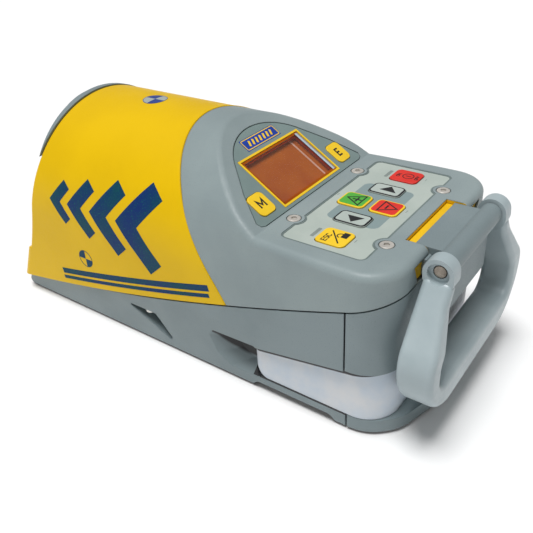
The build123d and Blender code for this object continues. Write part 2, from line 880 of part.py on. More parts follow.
# Hinge: inner frame, block, pin and handle
shelf_top = tab_top - tab_thick
plug_low = seam_height(rear_face) + seam_gap + 0.6
frame_half = body_half - rear_corner
frame_rear = rear_face + wall + 0.4
plug_rear = rear_face + 1.2


def plug_half(height):
    share = (height - slot_low) / slot_height
    return slot_low_half + share * (slot_high_half - slot_low_half) - slot_gap


with BuildPart() as rear_frame:
    block((-frame_half, frame_rear, deck_height - 39), (frame_half, rear_face + 7, shelf_top))
    block((-notch_half - 3, frame_rear, shelf_top - 3), (notch_half + 3, notch_front + 1.3, shelf_top))
    block((-notch_half + 0.5, tab_front + 0.4, shelf_top - 1),
          (notch_half - 0.5, notch_front - 0.3, deck_height - strip_drop))
    with BuildSketch(Plane.XZ.offset(-frame_rear)):
        Polygon(
            (-plug_half(plug_low), plug_low), (plug_half(plug_low), plug_low),
            (plug_half(shelf_top), shelf_top), (-plug_half(shelf_top), shelf_top), align=None,
        )
    extrude(amount=frame_rear - plug_rear)
save(rear_frame, "rear_frame")

with BuildPart() as hinge_block:
    with Locations((0, hinge_y, hinge_z)):
        Cylinder(bar_radius, 2 * bar_half, rotation=(0, 90, 0))
    block((-notch_half + 0.6, hinge_y, tab_top - tab_thick), (notch_half - 0.6, tab_front, tab_top))
    block((-bar_half, hinge_y - 0.5, plate_low), (bar_half, plate_front, hinge_z))
    block((-bar_half, plate_front, deck_height - 12.5), (bar_half, plug_rear, shelf_top))
    low_corners = [
        e for e in hinge_block.edges()
        if abs(e.center().Z - plate_low) < 0.01 or (
            abs(abs(e.center().X) - bar_half) < 0.01 and abs(e.center().Y - hinge_y + 0.5) < 0.01)
    ]
    fillet(low_corners, 2)
    with Locations((0, hinge_y, hinge_z)):
        Cylinder(pin_radius + 0.02, 2 * bar_half + 2, rotation=(0, 90, 0), mode=Mode.SUBTRACT)
save(hinge_block, "hinge_block")

with BuildPart() as hinge_pin:
    with Locations((0, hinge_y, hinge_z)):
        Cylinder(pin_radius, 2 * pin_half, rotation=(0, 90, 0))
    chamfer(hinge_pin.edges(), 0.5)
save(hinge_pin, "hinge_pin")

# The round of each arm's top fits the arm's width, and the rims follow it
inner_half = handle_half - handle_arm
arm_x = boss_inner + 0.8
inner_lean = atan2(inner_knee_drop - arm_drop, inner_half - arm_x)
outer_lean = atan2(knee_drop - arm_drop, handle_half - arm_x - arm_width)
top_limit = 0.99 * arm_width / (1 / tan(inner_lean / 2) + tan(outer_lean / 2))
top_round = min(arm_round, top_limit)
rim_round = min(handle_round, top_round - 0.3)

with BuildPart() as handle:
    with BuildSketch(Plane.XZ.offset(-handle_front)):
        with BuildLine():
            arm_z = hinge_z - arm_drop
            arm = [
                (arm_x, arm_z), (arm_x + arm_width, arm_z),
                (handle_half, hinge_z - knee_drop), (handle_half, handle_low),
            ]
            inside = [(inner_half, handle_low + grip_height), (inner_half, hinge_z - inner_knee_drop)]
            points = arm + [(-x, z) for x, z in reversed(arm)]
            points += [(-x, z) for x, z in reversed(inside)] + inside
            outer_rounds = (top_round, top_round, 18, handle_corner)
            rounds = outer_rounds + outer_rounds[::-1] + (10, 8, 8, 10)
            FilletPolyline(*points, close=True, radius=rounds)
        make_face()
    extrude(amount=handle_depth)
    with BuildSketch(Plane.YZ):
        with BuildLine():
            neck = hinge_y - boss_radius
            FilletPolyline(
                (handle_front, handle_low - 5), (handle_front, hinge_z), (neck, hinge_z),
                (neck, hinge_z - 14), (handle_front - handle_depth, hinge_z - 32),
                (handle_front - handle_depth, handle_low - 5),
                radius=(0.5, 0.5, 0.5, 14, 14, 0.5), close=True,
            )
        make_face()
    extrude(amount=outer_half, both=True, mode=Mode.INTERSECT)
    rims = [e for e in handle.edges() if abs(e.tangent_at(0.5).Y) < 0.7]
    fillet(rims, rim_round)
    for side in (-1, 1):
        low, high = sorted((side * boss_inner, side * boss_outer))
        with BuildSketch(Plane.YZ.offset(low)):
            SlotCenterPoint((hinge_y - 0.1, hinge_z - 1.2), (hinge_y, hinge_z), 2 * boss_radius)
        extrude(amount=high - low)
    with Locations((0, hinge_y, hinge_z)):
        Cylinder(pin_radius + pin_fit, 4 * pin_half, rotation=(0, 90, 0), mode=Mode.SUBTRACT)
    for side in (-1, 1):
        with Locations((side * (pin_half + 5), hinge_y, hinge_z)):
            Cylinder(counterbore_radius, 10, rotation=(0, 90, 0), mode=Mode.SUBTRACT)
save(handle, "handle")

# Key deck: panel, gasket, screws, keys and their board
with BuildPart() as key_panel:
    with BuildSketch(deck_plane.offset(-panel_recess)):
        add(panel_outline(0))
        with Locations(*[(x, y) for x, y, w, h in list(deck_keys.values())[:2]]):
            RectangleRounded(14.2 + 2 * key_gap, 15.8 + 2 * key_gap, key_round, mode=Mode.SUBTRACT)
        with Locations(*[(x, y) for x, y, w, h in list(deck_keys.values())[2:4]]):
            RectangleRounded(12.0 + 2 * key_gap, 17.8 + 2 * key_gap, key_round, mode=Mode.SUBTRACT)
        with Locations(*[(x, y) for x, y, w, h in list(deck_keys.values())[4:]]):
            RectangleRounded(14.4 + 2 * key_gap, 15.2 + 2 * key_gap, key_round, mode=Mode.SUBTRACT)
    extrude(amount=panel_thick)
save(key_panel, "key_panel")

with BuildPart() as key_gasket:
    with BuildSketch(deck_plane.offset(-panel_recess)):
        add(panel_outline(gasket_width))
        add(panel_outline(0.05), mode=Mode.SUBTRACT)
    extrude(amount=panel_recess - 0.2)
save(key_gasket, "key_gasket")

with BuildPart() as deck_screws_set:
    with BuildSketch(deck_plane.offset(-1.2)):
        with Locations(*deck_screws):
            Circle(deck_screw_head)
    extrude(amount=1.4)
    fillet(deck_screws_set.edges().group_by(Axis.Z)[-1], 0.5)
    with BuildSketch(deck_plane.offset(-1.2)):
        with Locations(*deck_screws):
            Circle(1.6)
    extrude(amount=-7.5)
    for x, y in deck_screws:
        with BuildSketch(deck_plane.offset(0.3)):
            with Locations((x, y)):
                RegularPolygon(1.6, 6)
        extrude(amount=-1.1, mode=Mode.SUBTRACT)
save(deck_screws_set, "deck_screws")


def make_key(plane, x, v, width, height, flange_top):
    with BuildPart() as key:
        with BuildSketch(plane.offset(key_rise)):
            with Locations((x, v)):
                RectangleRounded(width, height, key_round)
        extrude(amount=flange_top - key_rise)
        top_face = key.faces().sort_by(Axis(plane.origin, plane.z_dir))[-1]
        fillet(top_face.edges(), 0.4)
        with BuildSketch(plane.offset(flange_top)):
            with Locations((x, v)):
                RectangleRounded(width + 2 * flange_width, height + 2 * flange_width, key_round)
        extrude(amount=-flange_thick)
        with BuildSketch(plane.offset(flange_top - flange_thick)):
            with Locations((x, v)):
                Circle(stem_radius)
        extrude(amount=-stem_length)
    return key


for label, (x, v, width, height) in deck_keys.items():
    save(make_key(deck_plane, x, v, width, height, deck_flange), label)
for label, (x, v, width, height) in soft_keys.items():
    save(make_key(slope_plane, x, v, width, height, soft_flange), label)

with BuildPart() as key_board:
    with BuildSketch(deck_plane.offset(deck_board_top)):
        with Locations((0, panel_y)):
            Rectangle(panel_width + 2.6, panel_depth - 2.7)
    extrude(amount=-board_thick)
save(key_board, "key_board")

with BuildPart() as key_switches:
    with BuildSketch(deck_plane.offset(deck_board_top)):
        with Locations(*[(x, y) for x, y, w, h in deck_keys.values()]):
            Circle(3.5)
    extrude(amount=switch_height)
save(key_switches, "key_switches")

# Display: overlay, yellow frame, window, screen and board
with BuildPart() as display_overlay:
    with BuildSketch(slope_plane.offset(-overlay_recess)):
        add(overlay_outline(-0.2))
        with Locations((0, frame_centre)):
            Rectangle(frame_width + 0.2, frame_height + 0.2, mode=Mode.SUBTRACT)
        with Locations(*[(x, v) for x, v, w, h in soft_keys.values()]):
            RectangleRounded(
                soft_key_width + 2 * key_gap, soft_key_height + 2 * key_gap, key_round,
                mode=Mode.SUBTRACT,
            )
        with Locations((0, badge_v)):
            Rectangle(badge_width + 0.2, badge_height + 0.2, mode=Mode.SUBTRACT)
    extrude(amount=overlay_thick)
save(display_overlay, "display_overlay")

with BuildPart() as display_badge:
    with BuildSketch(slope_plane.offset(-overlay_recess)):
        with Locations((0, badge_v)):
            Rectangle(badge_width, badge_height)
    extrude(amount=overlay_thick + 0.1)
save(display_badge, "display_badge")

with BuildPart() as display_frame:
    with BuildSketch(slope_plane.offset(-overlay_recess)):
        with Locations((0, frame_centre)):
            Rectangle(frame_width, frame_height)
            Rectangle(frame_width - 2 * frame_band, frame_height - 2 * frame_band, mode=Mode.SUBTRACT)
    extrude(amount=overlay_thick + 0.2)
save(display_frame, "display_frame")

with BuildPart() as display_window:
    with BuildSketch(slope_plane.offset(-overlay_recess)):
        with Locations((0, frame_centre)):
            Rectangle(frame_width - 2 * frame_band - 0.2, frame_height - 2 * frame_band - 0.2)
    extrude(amount=1.0)
save(display_window, "display_window")

with BuildPart() as display_screen:
    with BuildSketch(slope_plane.offset(-screen_depth)):
        with Locations((0, frame_centre)):
            Rectangle(frame_width - 6, frame_height - 6)
    extrude(amount=soft_board_top + screen_depth)
save(display_screen, "display_screen")

with BuildPart() as display_board:
    with BuildSketch(slope_plane.offset(soft_board_top)):
        with Locations((0, 9.5)):
            Rectangle(99, 13)
        with Locations((0, 20.5)):
            Rectangle(72, 10)
        with Locations((0, 30)):
            Rectangle(52, 12)
    extrude(amount=-board_thick)
save(display_board, "display_board")

with BuildPart() as display_switches:
    with BuildSketch(slope_plane.offset(soft_board_top)):
        with Locations(*[(x, v) for x, v, w, h in soft_keys.values()]):
            Circle(3.5)
    extrude(amount=switch_height)
save(display_switches, "display_switches")

# Beam end: stepped hood, window with seal and clamp ring
with BuildPart() as brow:
    with BuildSketch(Plane.XZ.offset(-brow_front)):
        with Locations((0, dome_axis)):
            Circle(body_half + brow_rise)
    extrude(amount=brow_front - nose_top_y + 5)
    with BuildSketch(Plane.YZ):
        with BuildLine():
            ThreePointArc(
                (nose_roof_y + seam_gap, roof), (nose_mid_y + seam_gap, nose_mid_z),
                (nose_low_y + seam_gap, nose_low_z),
            )
            Polyline(
                (nose_low_y + seam_gap, nose_low_z), (0, nose_low_z), (0, roof),
                (nose_roof_y + seam_gap, roof),
            )
        make_face()
    extrude(amount=outer_half, both=True, mode=Mode.SUBTRACT)
    block((-outer_half, 0, 0), (outer_half, base_front, brow_low), mode=Mode.SUBTRACT)

with BuildPart() as bezel:
    with BuildSketch(Plane.XZ.offset(-bezel_back)):
        with Locations((0, bezel_z)):
            Circle(bezel_radius)
    extrude(amount=bezel_back - bezel_front)
    with BuildSketch(Plane.XZ.offset(-bezel_front)):
        with Locations((0, bezel_z)):
            Circle(hood_radius)
    extrude(amount=bezel_front - hood_front)
    fillet(bezel.edges().filter_by(GeomType.CIRCLE).group_by(Axis.Y)[-1], 1.5)
    add(brow.part)
    with BuildSketch(Plane.XZ.offset(-bezel_back - 3)):
        with Locations((0, bezel_z)):
            Circle(bezel_bore)
    extrude(amount=-90, mode=Mode.SUBTRACT)
    with BuildSketch(Plane.XZ.offset(-bezel_back)):
        with Locations((0, bezel_z)):
            Circle(bezel_bore - 6)
    extrude(amount=-90, mode=Mode.SUBTRACT)
save(bezel, "bezel")


def ring(front, thick, outer, inner):
    with BuildPart() as made:
        with BuildSketch(Plane.XZ.offset(-front)):
            with Locations((0, bezel_z)):
                Circle(outer)
                if inner > 0:
                    Circle(inner, mode=Mode.SUBTRACT)
        extrude(amount=-thick)
    return made


seal_thick = 1.0
glass_back = bezel_back + 3 + seal_thick
ring_back = glass_back + window_thick
save(ring(bezel_back + 3, seal_thick, bezel_bore - 0.3, bezel_bore - 6), "window_seal")
save(ring(glass_back, window_thick, bezel_bore - 0.3, 0), "front_window")

with BuildPart() as clamp_ring:
    with BuildSketch(Plane.XZ.offset(-ring_back)):
        with Locations((0, bezel_z)):
            Circle(bezel_bore - 0.2)
            Circle(bezel_bore - 5, mode=Mode.SUBTRACT)
            with PolarLocations(bezel_bore - 2.6, 6, start_angle=30):
                Circle(0.9, mode=Mode.SUBTRACT)
    extrude(amount=-2)
save(clamp_ring, "clamp_ring")

with BuildPart() as ring_screws:
    with BuildSketch(Plane.XZ.offset(-ring_back - 2)):
        with Locations((0, bezel_z)):
            with PolarLocations(bezel_bore - 2.6, 6, start_angle=30):
                Circle(1.6)
    extrude(amount=-1.2)
    with BuildSketch(Plane.XZ.offset(-ring_back - 2)):
        with Locations((0, bezel_z)):
            with PolarLocations(bezel_bore - 2.6, 6, start_angle=30):
                Circle(0.85)
    extrude(amount=1.9)
save(ring_screws, "ring_screws")

# Gimbal: base, line yoke, laser tube and drives
plate_low_z = floor_thick + base_plate + 0.3
arm_inner = tube_radius + yoke_gap
arm_outer = arm_inner + yoke_arm
with BuildPart() as gimbal_base:
    block((-38, pivot_y - 38, floor_thick), (38, pivot_y + 34, floor_thick + base_plate))
    with BuildSketch(Plane.XY.offset(floor_thick + base_plate)):
        with Locations((0, pivot_y)):
            Circle(pivot_radius)
    extrude(amount=yoke_plate)
save(gimbal_base, "gimbal_base")

with BuildPart() as line_yoke:
    block((-arm_outer, pivot_y - 15, plate_low_z), (arm_outer + 15, pivot_y + 15, plate_low_z + yoke_plate))
    for side in (-1, 1):
        low, high = sorted((side * arm_inner, side * arm_outer))
        with BuildSketch(Plane.YZ.offset(low)):
            with Locations((pivot_y, beam_z)):
                Circle(10)
            with Locations((pivot_y, (plate_low_z + beam_z) / 2)):
                Rectangle(20, beam_z - plate_low_z)
        extrude(amount=high - low)
    with Locations((0, pivot_y, beam_z)):
        Cylinder(trunnion_radius + 0.05, 4 * arm_outer, rotation=(0, 90, 0), mode=Mode.SUBTRACT)
    with Locations((0, pivot_y, plate_low_z + yoke_plate / 2)):
        Cylinder(pivot_radius + 0.05, yoke_plate + 2, mode=Mode.SUBTRACT)
save(line_yoke, "line_yoke")

with BuildPart() as laser_tube:
    with BuildSketch(Plane.XZ.offset(-pivot_y - tube_front)):
        with Locations((0, beam_z)):
            Circle(tube_radius)
    extrude(amount=tube_front + tube_rear)
    with Locations((0, pivot_y, beam_z)):
        Cylinder(trunnion_radius, 2 * arm_outer - 2, rotation=(0, 90, 0))
    with BuildSketch(Plane.XZ.offset(-pivot_y - tube_front)):
        with Locations((0, beam_z)):
            Circle(tube_radius - 3)
    extrude(amount=8, mode=Mode.SUBTRACT)
save(laser_tube, "laser_tube")

with BuildPart() as laser_lens:
    with BuildSketch(Plane.XZ.offset(-pivot_y - tube_front + 5)):
        with Locations((0, beam_z)):
            Circle(tube_radius - 3.1)
    extrude(amount=3)
save(laser_lens, "laser_lens")

with BuildPart() as lens_ring:
    with BuildSketch(Plane.XZ.offset(-pivot_y - tube_front + 2)):
        with Locations((0, beam_z)):
            Circle(tube_radius - 3.1)
            Circle(tube_radius - 5.5, mode=Mode.SUBTRACT)
    extrude(amount=3)
save(lens_ring, "lens_ring")

with BuildPart() as grade_motor:
    with BuildSketch(Plane.XY.offset(plate_low_z + yoke_plate)):
        with Locations((arm_outer + 8, pivot_y)):
            Circle(6.5)
    extrude(amount=32)
    with BuildSketch(Plane.XY.offset(plate_low_z + yoke_plate + 32)):
        with Locations((arm_outer + 8, pivot_y)):
            Circle(1.5)
    extrude(amount=10)
save(grade_motor, "grade_motor")

with BuildPart() as line_motor:
    with BuildSketch(Plane.XY.offset(floor_thick + base_plate)):
        with Locations((-30, pivot_y - 31)):
            Circle(6.5)
    extrude(amount=28)
    with BuildSketch(Plane.XY.offset(floor_thick + base_plate + 28)):
        with Locations((-30, pivot_y - 31)):
            Circle(1.5)
    extrude(amount=8)
save(line_motor, "line_motor")

# Main board on its standoffs
board_z = 50.0
board_spots = [(x, y) for x in (20 - body_half, body_half - 20) for y in (-14, 28)]
with BuildPart() as standoffs:
    with BuildSketch(Plane.XY.offset(floor_thick)):
        with Locations(*board_spots):
            RegularPolygon(3.2, 6)
    extrude(amount=board_z - floor_thick)
save(standoffs, "standoffs")

with BuildPart() as main_board:
    block((14 - body_half, -20, board_z), (body_half - 14, 34, board_z + board_thick))
save(main_board, "main_board")

with BuildPart() as board_chips:
    chip_z = board_z + board_thick
    chips = ((-20, 10, 18, 18, 2.5), (12, 14, 12, 12, 2), (30, -4, 10, 16, 6), (-34, -8, 14, 10, 8))
    for x, y, w, d, h in chips:
        block((x - w / 2, y - d / 2, chip_z), (x + w / 2, y + d / 2, chip_z + h))
save(board_chips, "board_chips")
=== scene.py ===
import json
import bmesh
import bpy
import numpy as np
from mathutils import Matrix, Vector


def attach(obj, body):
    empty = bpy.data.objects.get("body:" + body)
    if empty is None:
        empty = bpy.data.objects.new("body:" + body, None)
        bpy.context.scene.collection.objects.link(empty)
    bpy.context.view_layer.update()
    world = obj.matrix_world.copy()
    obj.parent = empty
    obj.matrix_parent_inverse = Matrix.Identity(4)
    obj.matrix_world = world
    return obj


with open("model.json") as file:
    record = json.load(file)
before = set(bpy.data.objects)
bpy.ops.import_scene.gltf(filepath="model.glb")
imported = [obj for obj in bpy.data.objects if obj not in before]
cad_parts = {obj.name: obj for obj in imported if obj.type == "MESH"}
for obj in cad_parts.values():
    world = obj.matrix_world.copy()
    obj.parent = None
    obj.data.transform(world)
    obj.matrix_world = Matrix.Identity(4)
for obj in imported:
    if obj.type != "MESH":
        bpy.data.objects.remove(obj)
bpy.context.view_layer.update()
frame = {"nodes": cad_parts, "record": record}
nodes = frame["nodes"]
scene = bpy.context.scene
mm = 0.001
print("frame loaded:", len(nodes), "nodes")

# Measures of the solids that the pieces sit on, in mm; crown is the way up a side to the dome's ridge
dome = {"radius": 62.0, "axis": 67.8}
crown = dome["axis"] + dome["radius"] * np.pi / 2
deckHeight = 97.0
slope = {"foot": -43.4, "run": 0.84730, "rise": 0.53110}

# Meshing: rows of a rounded corner, degrees of a step along an arc or a path, fewest points of an arc,
# limit of a drawn-out corner, shortest length, metres within which points join, degrees of a sharp edge
mesher = {"cornerRows": 9, "arcStep": 6, "pathStep": 7.5, "arcLeast": 6, "mitre": 0.35, "tiny": 1e-9,
          "join": 1e-7, "sharp": 30}


def linear(rgb):
    # sRGB bytes to linear light
    c = np.array(rgb, float) / 255
    c = np.where(c <= 0.04045, c / 12.92, ((c + 0.055) / 1.055) ** 2.4)
    return tuple(c.tolist()) + (1.0,)


# Places: two parameters and a height above the surface give points in mm
def deckPlace(x, y, height):
    return np.stack([x, y, deckHeight + height + 0 * x], -1)


def slopePlace(x, v, height):
    # v runs up the display slope, height stands square to it
    y = slope["foot"] + v * slope["run"] - height * slope["rise"]
    z = deckHeight + v * slope["rise"] + height * slope["run"]
    return np.stack([x, y + 0 * x, z + 0 * x], -1)


def sidePlace(side):
    # t is the way up the side: straight to the dome's axis, then round the dome as an arc length
    def place(y, t, height):
        angle = np.maximum(t - dome["axis"], 0) / dome["radius"]
        reach = dome["radius"] + height
        z = np.minimum(t, dome["axis"]) + reach * np.sin(angle)
        return np.stack([side * reach * np.cos(angle), y + 0 * t, z], -1)
    return place


# Flat shapes as grids of two parameters
def boxBand(x, y, width, height, corner):
    # each row of a rounded box is as wide as its corner circles allow there
    turn = np.linspace(0, np.pi / 2, mesher["cornerRows"])
    level = -height / 2 + corner * (1 - np.cos(turn))
    half = width / 2 - corner + corner * np.sin(turn)
    rows = np.concatenate([level, -level[::-1]])
    half = np.concatenate([half, half[::-1]])
    share = np.array([-1.0, 1.0])
    return x + half[:, None] * share, y + rows[:, None] + 0 * share


def discBand(x, y, inner, outer, start=0.0, end=360.0, rings=2):
    # radius times angle, start and end in degrees
    steps = max(mesher["arcLeast"], int((end - start) / mesher["arcStep"]) + 1)
    turn = np.radians(np.linspace(start, end, steps))
    radius = np.linspace(inner, outer, rings)[:, None]
    return x + radius * np.cos(turn), y + radius * np.sin(turn)


def triangleBand(a, b, c):
    # one row is the first corner, the other the opposite side
    share = np.array([0.0, 1.0])
    left, right = np.subtract(b, a), np.subtract(c, a)
    side = left + share[:, None] * (right - left)
    grid = np.array(a, float) + share[:, None, None] * side
    return grid[..., 0], grid[..., 1]


def roundedPath(x, y, width, height, corner):
    # a corner circle's centre in each quarter, and points round it
    turn = np.radians(np.arange(0, 360, mesher["pathStep"]) + mesher["pathStep"] / 2)
    spotX = np.sign(np.cos(turn)) * (width / 2 - corner)
    spotY = np.sign(np.sin(turn)) * (height / 2 - corner)
    return np.stack([x + spotX + corner * np.cos(turn), y + spotY + corner * np.sin(turn)], -1)


def arcPath(x, y, radius, turn):
    return np.stack([x + radius * np.cos(turn), y + radius * np.sin(turn)], -1)


def unitRows(v):
    return v / np.maximum(np.linalg.norm(v, axis=1, keepdims=True), mesher["tiny"])


def quarterTurn(v):
    return np.stack([-v[:, 1], v[:, 0]], -1)


def finer(points, parts):
    # each stretch between two points cut into equal parts
    stretches = len(points) - 1
    at = np.linspace(0, stretches, parts * stretches + 1)
    return np.stack([np.interp(at, np.arange(len(points)), points[:, k]) for k in (0, 1)], -1)


def strokeBand(points, width, closed=False, parts=1, across=2):
    # each point is pushed out along the mean of its two edge normals, longer at a corner
    p = np.array(points, float)
    after = np.roll(p, -1, 0) - p
    before = p - np.roll(p, 1, 0)
    if not closed:
        after[-1], before[0] = before[-1], after[0]
    after, before = quarterTurn(unitRows(after)), quarterTurn(unitRows(before))
    mid = unitRows(after + before)
    reach = width / 2 / np.maximum((mid * after).sum(1, keepdims=True), mesher["mitre"])
    left, right = p + mid * reach, p - mid * reach
    if parts > 1:
        left, right = finer(left, parts), finer(right, parts)
    share = np.linspace(0, 1, across)
    grid = left[:, None] + share[None, :, None] * (right - left)[:, None]
    return grid[..., 0], grid[..., 1]


def slab(place, band, top, bottom, wrap=False):
    # the grid at two heights, joined along its border
    x, y = band
    rows, columns = x.shape
    size = rows * columns
    points = np.concatenate([place(x, y, top).reshape(-1, 3), place(x, y, bottom).reshape(-1, 3)])
    i = np.arange(size).reshape(rows, columns)
    if wrap:
        i = np.concatenate([i, i[:1]])
    quads = np.stack([i[:-1, :-1], i[:-1, 1:], i[1:, 1:], i[1:, :-1]], -1).reshape(-1, 4)
    edges = [np.stack([i[:-1, -1], i[1:, -1]], -1), np.stack([i[1:, 0], i[:-1, 0]], -1)]
    if not wrap:
        edges += [np.stack([i[0, :-1], i[0, 1:]], -1), np.stack([i[-1, 1:], i[-1, :-1]], -1)]
    e = np.concatenate(edges)
    walls = np.stack([e[:, 0], e[:, 0] + size, e[:, 1] + size, e[:, 1]], -1)
    return points, np.concatenate([quads, quads[:, ::-1] + size, walls])


def tube(path, radius, sides):
    # a circle carried along the path, square to it, with a pole at each end; the path never runs along y
    p = np.array(path, float)
    along = unitRows(np.gradient(p, axis=0))
    first = unitRows(np.cross(along, (0.0, 1.0, 0.0)))
    second = np.cross(along, first)
    turn = np.linspace(0, 2 * np.pi, sides, endpoint=False)
    wide = np.full(len(p), radius)
    p = np.concatenate([p[:1], p, p[-1:]])
    first = np.concatenate([first[:1], first, first[-1:]])
    second = np.concatenate([second[:1], second, second[-1:]])
    wide = np.concatenate([[0], wide, [0]])[:, None, None]
    ring = np.cos(turn)[None, :, None] * first[:, None] + np.sin(turn)[None, :, None] * second[:, None]
    points = (p[:, None] + wide * ring).reshape(-1, 3)
    return points, loopFaces(len(p), sides)


def loopFaces(rows, sides):
    # quads between rows of closed rings
    i = np.arange(rows * sides).reshape(rows, sides)
    j = np.roll(i, -1, 1)
    return np.stack([i[:-1], j[:-1], j[1:], i[1:]], -1).reshape(-1, 4)


def makePiece(name, shells, material, body):
    # joins closed shells into one mesh in metres, closes seams and turns the faces outward
    counts = np.cumsum([0] + [len(v) for v, f in shells])
    points = np.concatenate([v for v, f in shells]) * mm
    faces = np.concatenate([f + n for (v, f), n in zip(shells, counts)])
    mesh = bpy.data.meshes.new(name)
    mesh.from_pydata(points.tolist(), [], faces.tolist())
    work = bmesh.new()
    work.from_mesh(mesh)
    bmesh.ops.remove_doubles(work, verts=work.verts, dist=mesher["join"])
    bmesh.ops.recalc_face_normals(work, faces=work.faces)
    work.to_mesh(mesh)
    work.free()
    mesh.polygons.foreach_set("use_smooth", np.ones(len(mesh.polygons), bool))
    mesh.set_sharp_from_angle(angle=np.radians(mesher["sharp"]))
    mesh.materials.append(materials[material])
    piece = bpy.data.objects.new(name, mesh)
    scene.collection.objects.link(piece)
    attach(piece, body)


# Node helpers for the finishes
def wire(tree, kind, values=None, **options):
    made = tree.nodes.new("ShaderNode" + kind)
    for key, value in options.items():
        setattr(made, key, value)
    for key, value in (values or {}).items():
        if isinstance(value, bpy.types.NodeSocket):
            tree.links.new(value, made.inputs[key])
        else:
            made.inputs[key].default_value = value
    return made


def math(tree, operation, a, b=0.0):
    return wire(tree, "Math", {0: a, 1: b}, operation=operation).outputs[0]


def mixed(tree, factor, a, b):
    return wire(tree, "Mix", {0: factor, 6: a, 7: b}, data_type="RGBA").outputs[2]


def ramp(tree, factor, low, high):
    return wire(tree, "MapRange", {0: factor, 1: low, 2: high}, interpolation_type="SMOOTHSTEP").outputs[0]


def millimetres(tree, place):
    # the three coordinates of the place in mm
    part = wire(tree, "SeparateXYZ", {0: place})
    return [math(tree, "DIVIDE", socket, mm) for socket in part.outputs]


def boxMask(tree, place, x, y, halfX, halfY, corner):
    # 1 inside a rounded box in the X-Y plane: distance past the corner circle's centre, in mm
    spot = millimetres(tree, place)
    away = []
    for socket, centre, half in ((spot[0], x, halfX), (spot[1], y, halfY)):
        off = math(tree, "ABSOLUTE", math(tree, "SUBTRACT", socket, centre))
        away.append(math(tree, "MAXIMUM", math(tree, "SUBTRACT", off, half - corner), 0.0))
    square = [math(tree, "MULTIPLY", a, a) for a in away]
    length = math(tree, "SQRT", math(tree, "ADD", *square))
    return math(tree, "LESS_THAN", length, corner)


# Settings that all finishes share: details and ranges of the noises, then bump, bevel, coat and shine
texture = {"cloudDetail": 5.0, "cloudRough": 0.55, "cloudRange": (0.32, 0.68),
           "speckDetail": 2.0, "speckFade": 0.08, "grainDetail": 3.0, "grainRange": (0.3, 0.7),
           "smearDetail": 4.0, "smearRange": (0.35, 0.7), "bumpStrength": 0.5, "bevelSamples": 4,
           "coatRough": 0.25, "plainShine": 0.5}


def newMaterial(name):
    material = bpy.data.materials.new(name)
    material.use_nodes = True
    tree = material.node_tree
    place = wire(tree, "TexCoord").outputs["Object"]
    return material, tree, tree.nodes["Principled BSDF"], place


def roughness(tree, noise, spread, rough):
    # the noise's middle range spread over the two values of roughness
    values = {0: noise.outputs[0], 1: spread[0], 2: spread[1], 3: rough[0], 4: rough[1]}
    return wire(tree, "MapRange", values).outputs[0]


def finish(name, s, marks=()):
    # clouds of two colours, specks, marks, grain in roughness and bump, and softened edges
    material, tree, shader, place = newMaterial(name)
    grainPlace = place
    if "stretch" in s:
        grainPlace = wire(tree, "Mapping", {"Vector": place, "Scale": s["stretch"]}).outputs[0]
    cloud = wire(tree, "TexNoise", {"Vector": place, "Scale": s["patch"], "Detail": texture["cloudDetail"],
                                    "Roughness": texture["cloudRough"]})
    patches = ramp(tree, cloud.outputs[0], *texture["cloudRange"])
    tint = mixed(tree, patches, linear(s["shade"]), linear(s["colour"]))
    if "speck" in s:
        colour, scale, share = s["speck"]
        dots = wire(tree, "TexNoise", {"Vector": place, "Scale": scale, "Detail": texture["speckDetail"]})
        spots = ramp(tree, dots.outputs[0], 1 - share, 1 + texture["speckFade"] - share)
        tint = mixed(tree, spots, tint, linear(colour))
    for mark in marks:
        tint = mixed(tree, mark["mask"](tree, place), tint, linear(mark["colour"]))
    grain = wire(tree, "TexNoise", {"Vector": grainPlace, "Scale": s["grain"],
                                    "Detail": texture["grainDetail"]})
    bump = wire(tree, "Bump", {"Height": grain.outputs[0], "Strength": texture["bumpStrength"],
                               "Distance": s["bump"] * mm})
    if "edge" in s:
        soft = wire(tree, "Bevel", {"Radius": s["edge"] * mm}, samples=texture["bevelSamples"])
        tree.links.new(soft.outputs[0], bump.inputs["Normal"])
    tree.links.new(tint, shader.inputs["Base Color"])
    tree.links.new(roughness(tree, grain, texture["grainRange"], s["rough"]), shader.inputs["Roughness"])
    tree.links.new(bump.outputs[0], shader.inputs["Normal"])
    shader.inputs["Metallic"].default_value = s.get("metal", 0.0)
    shader.inputs["Coat Weight"].default_value = s.get("coat", 0.0)
    shader.inputs["Coat Roughness"].default_value = texture["coatRough"]
    shader.inputs["Specular IOR Level"].default_value = s.get("shine", texture["plainShine"])
    material.diffuse_color = linear(s["colour"])
    return material


def clearFinish(name, s):
    # glass that refracts, or a thin pane with a faint veil: smears in the roughness only
    material, tree, shader, place = newMaterial(name)
    smear = wire(tree, "TexNoise", {"Vector": place, "Scale": s["patch"], "Detail": texture["smearDetail"]})
    tree.links.new(roughness(tree, smear, texture["smearRange"], s["rough"]), shader.inputs["Roughness"])
    shader.inputs["Base Color"].default_value = linear(s["colour"])
    if "veil" in s:
        shader.inputs["Alpha"].default_value = s["veil"]
    else:
        shader.inputs["Transmission Weight"].default_value = 1.0
        shader.inputs["IOR"].default_value = s["ior"]
    return material


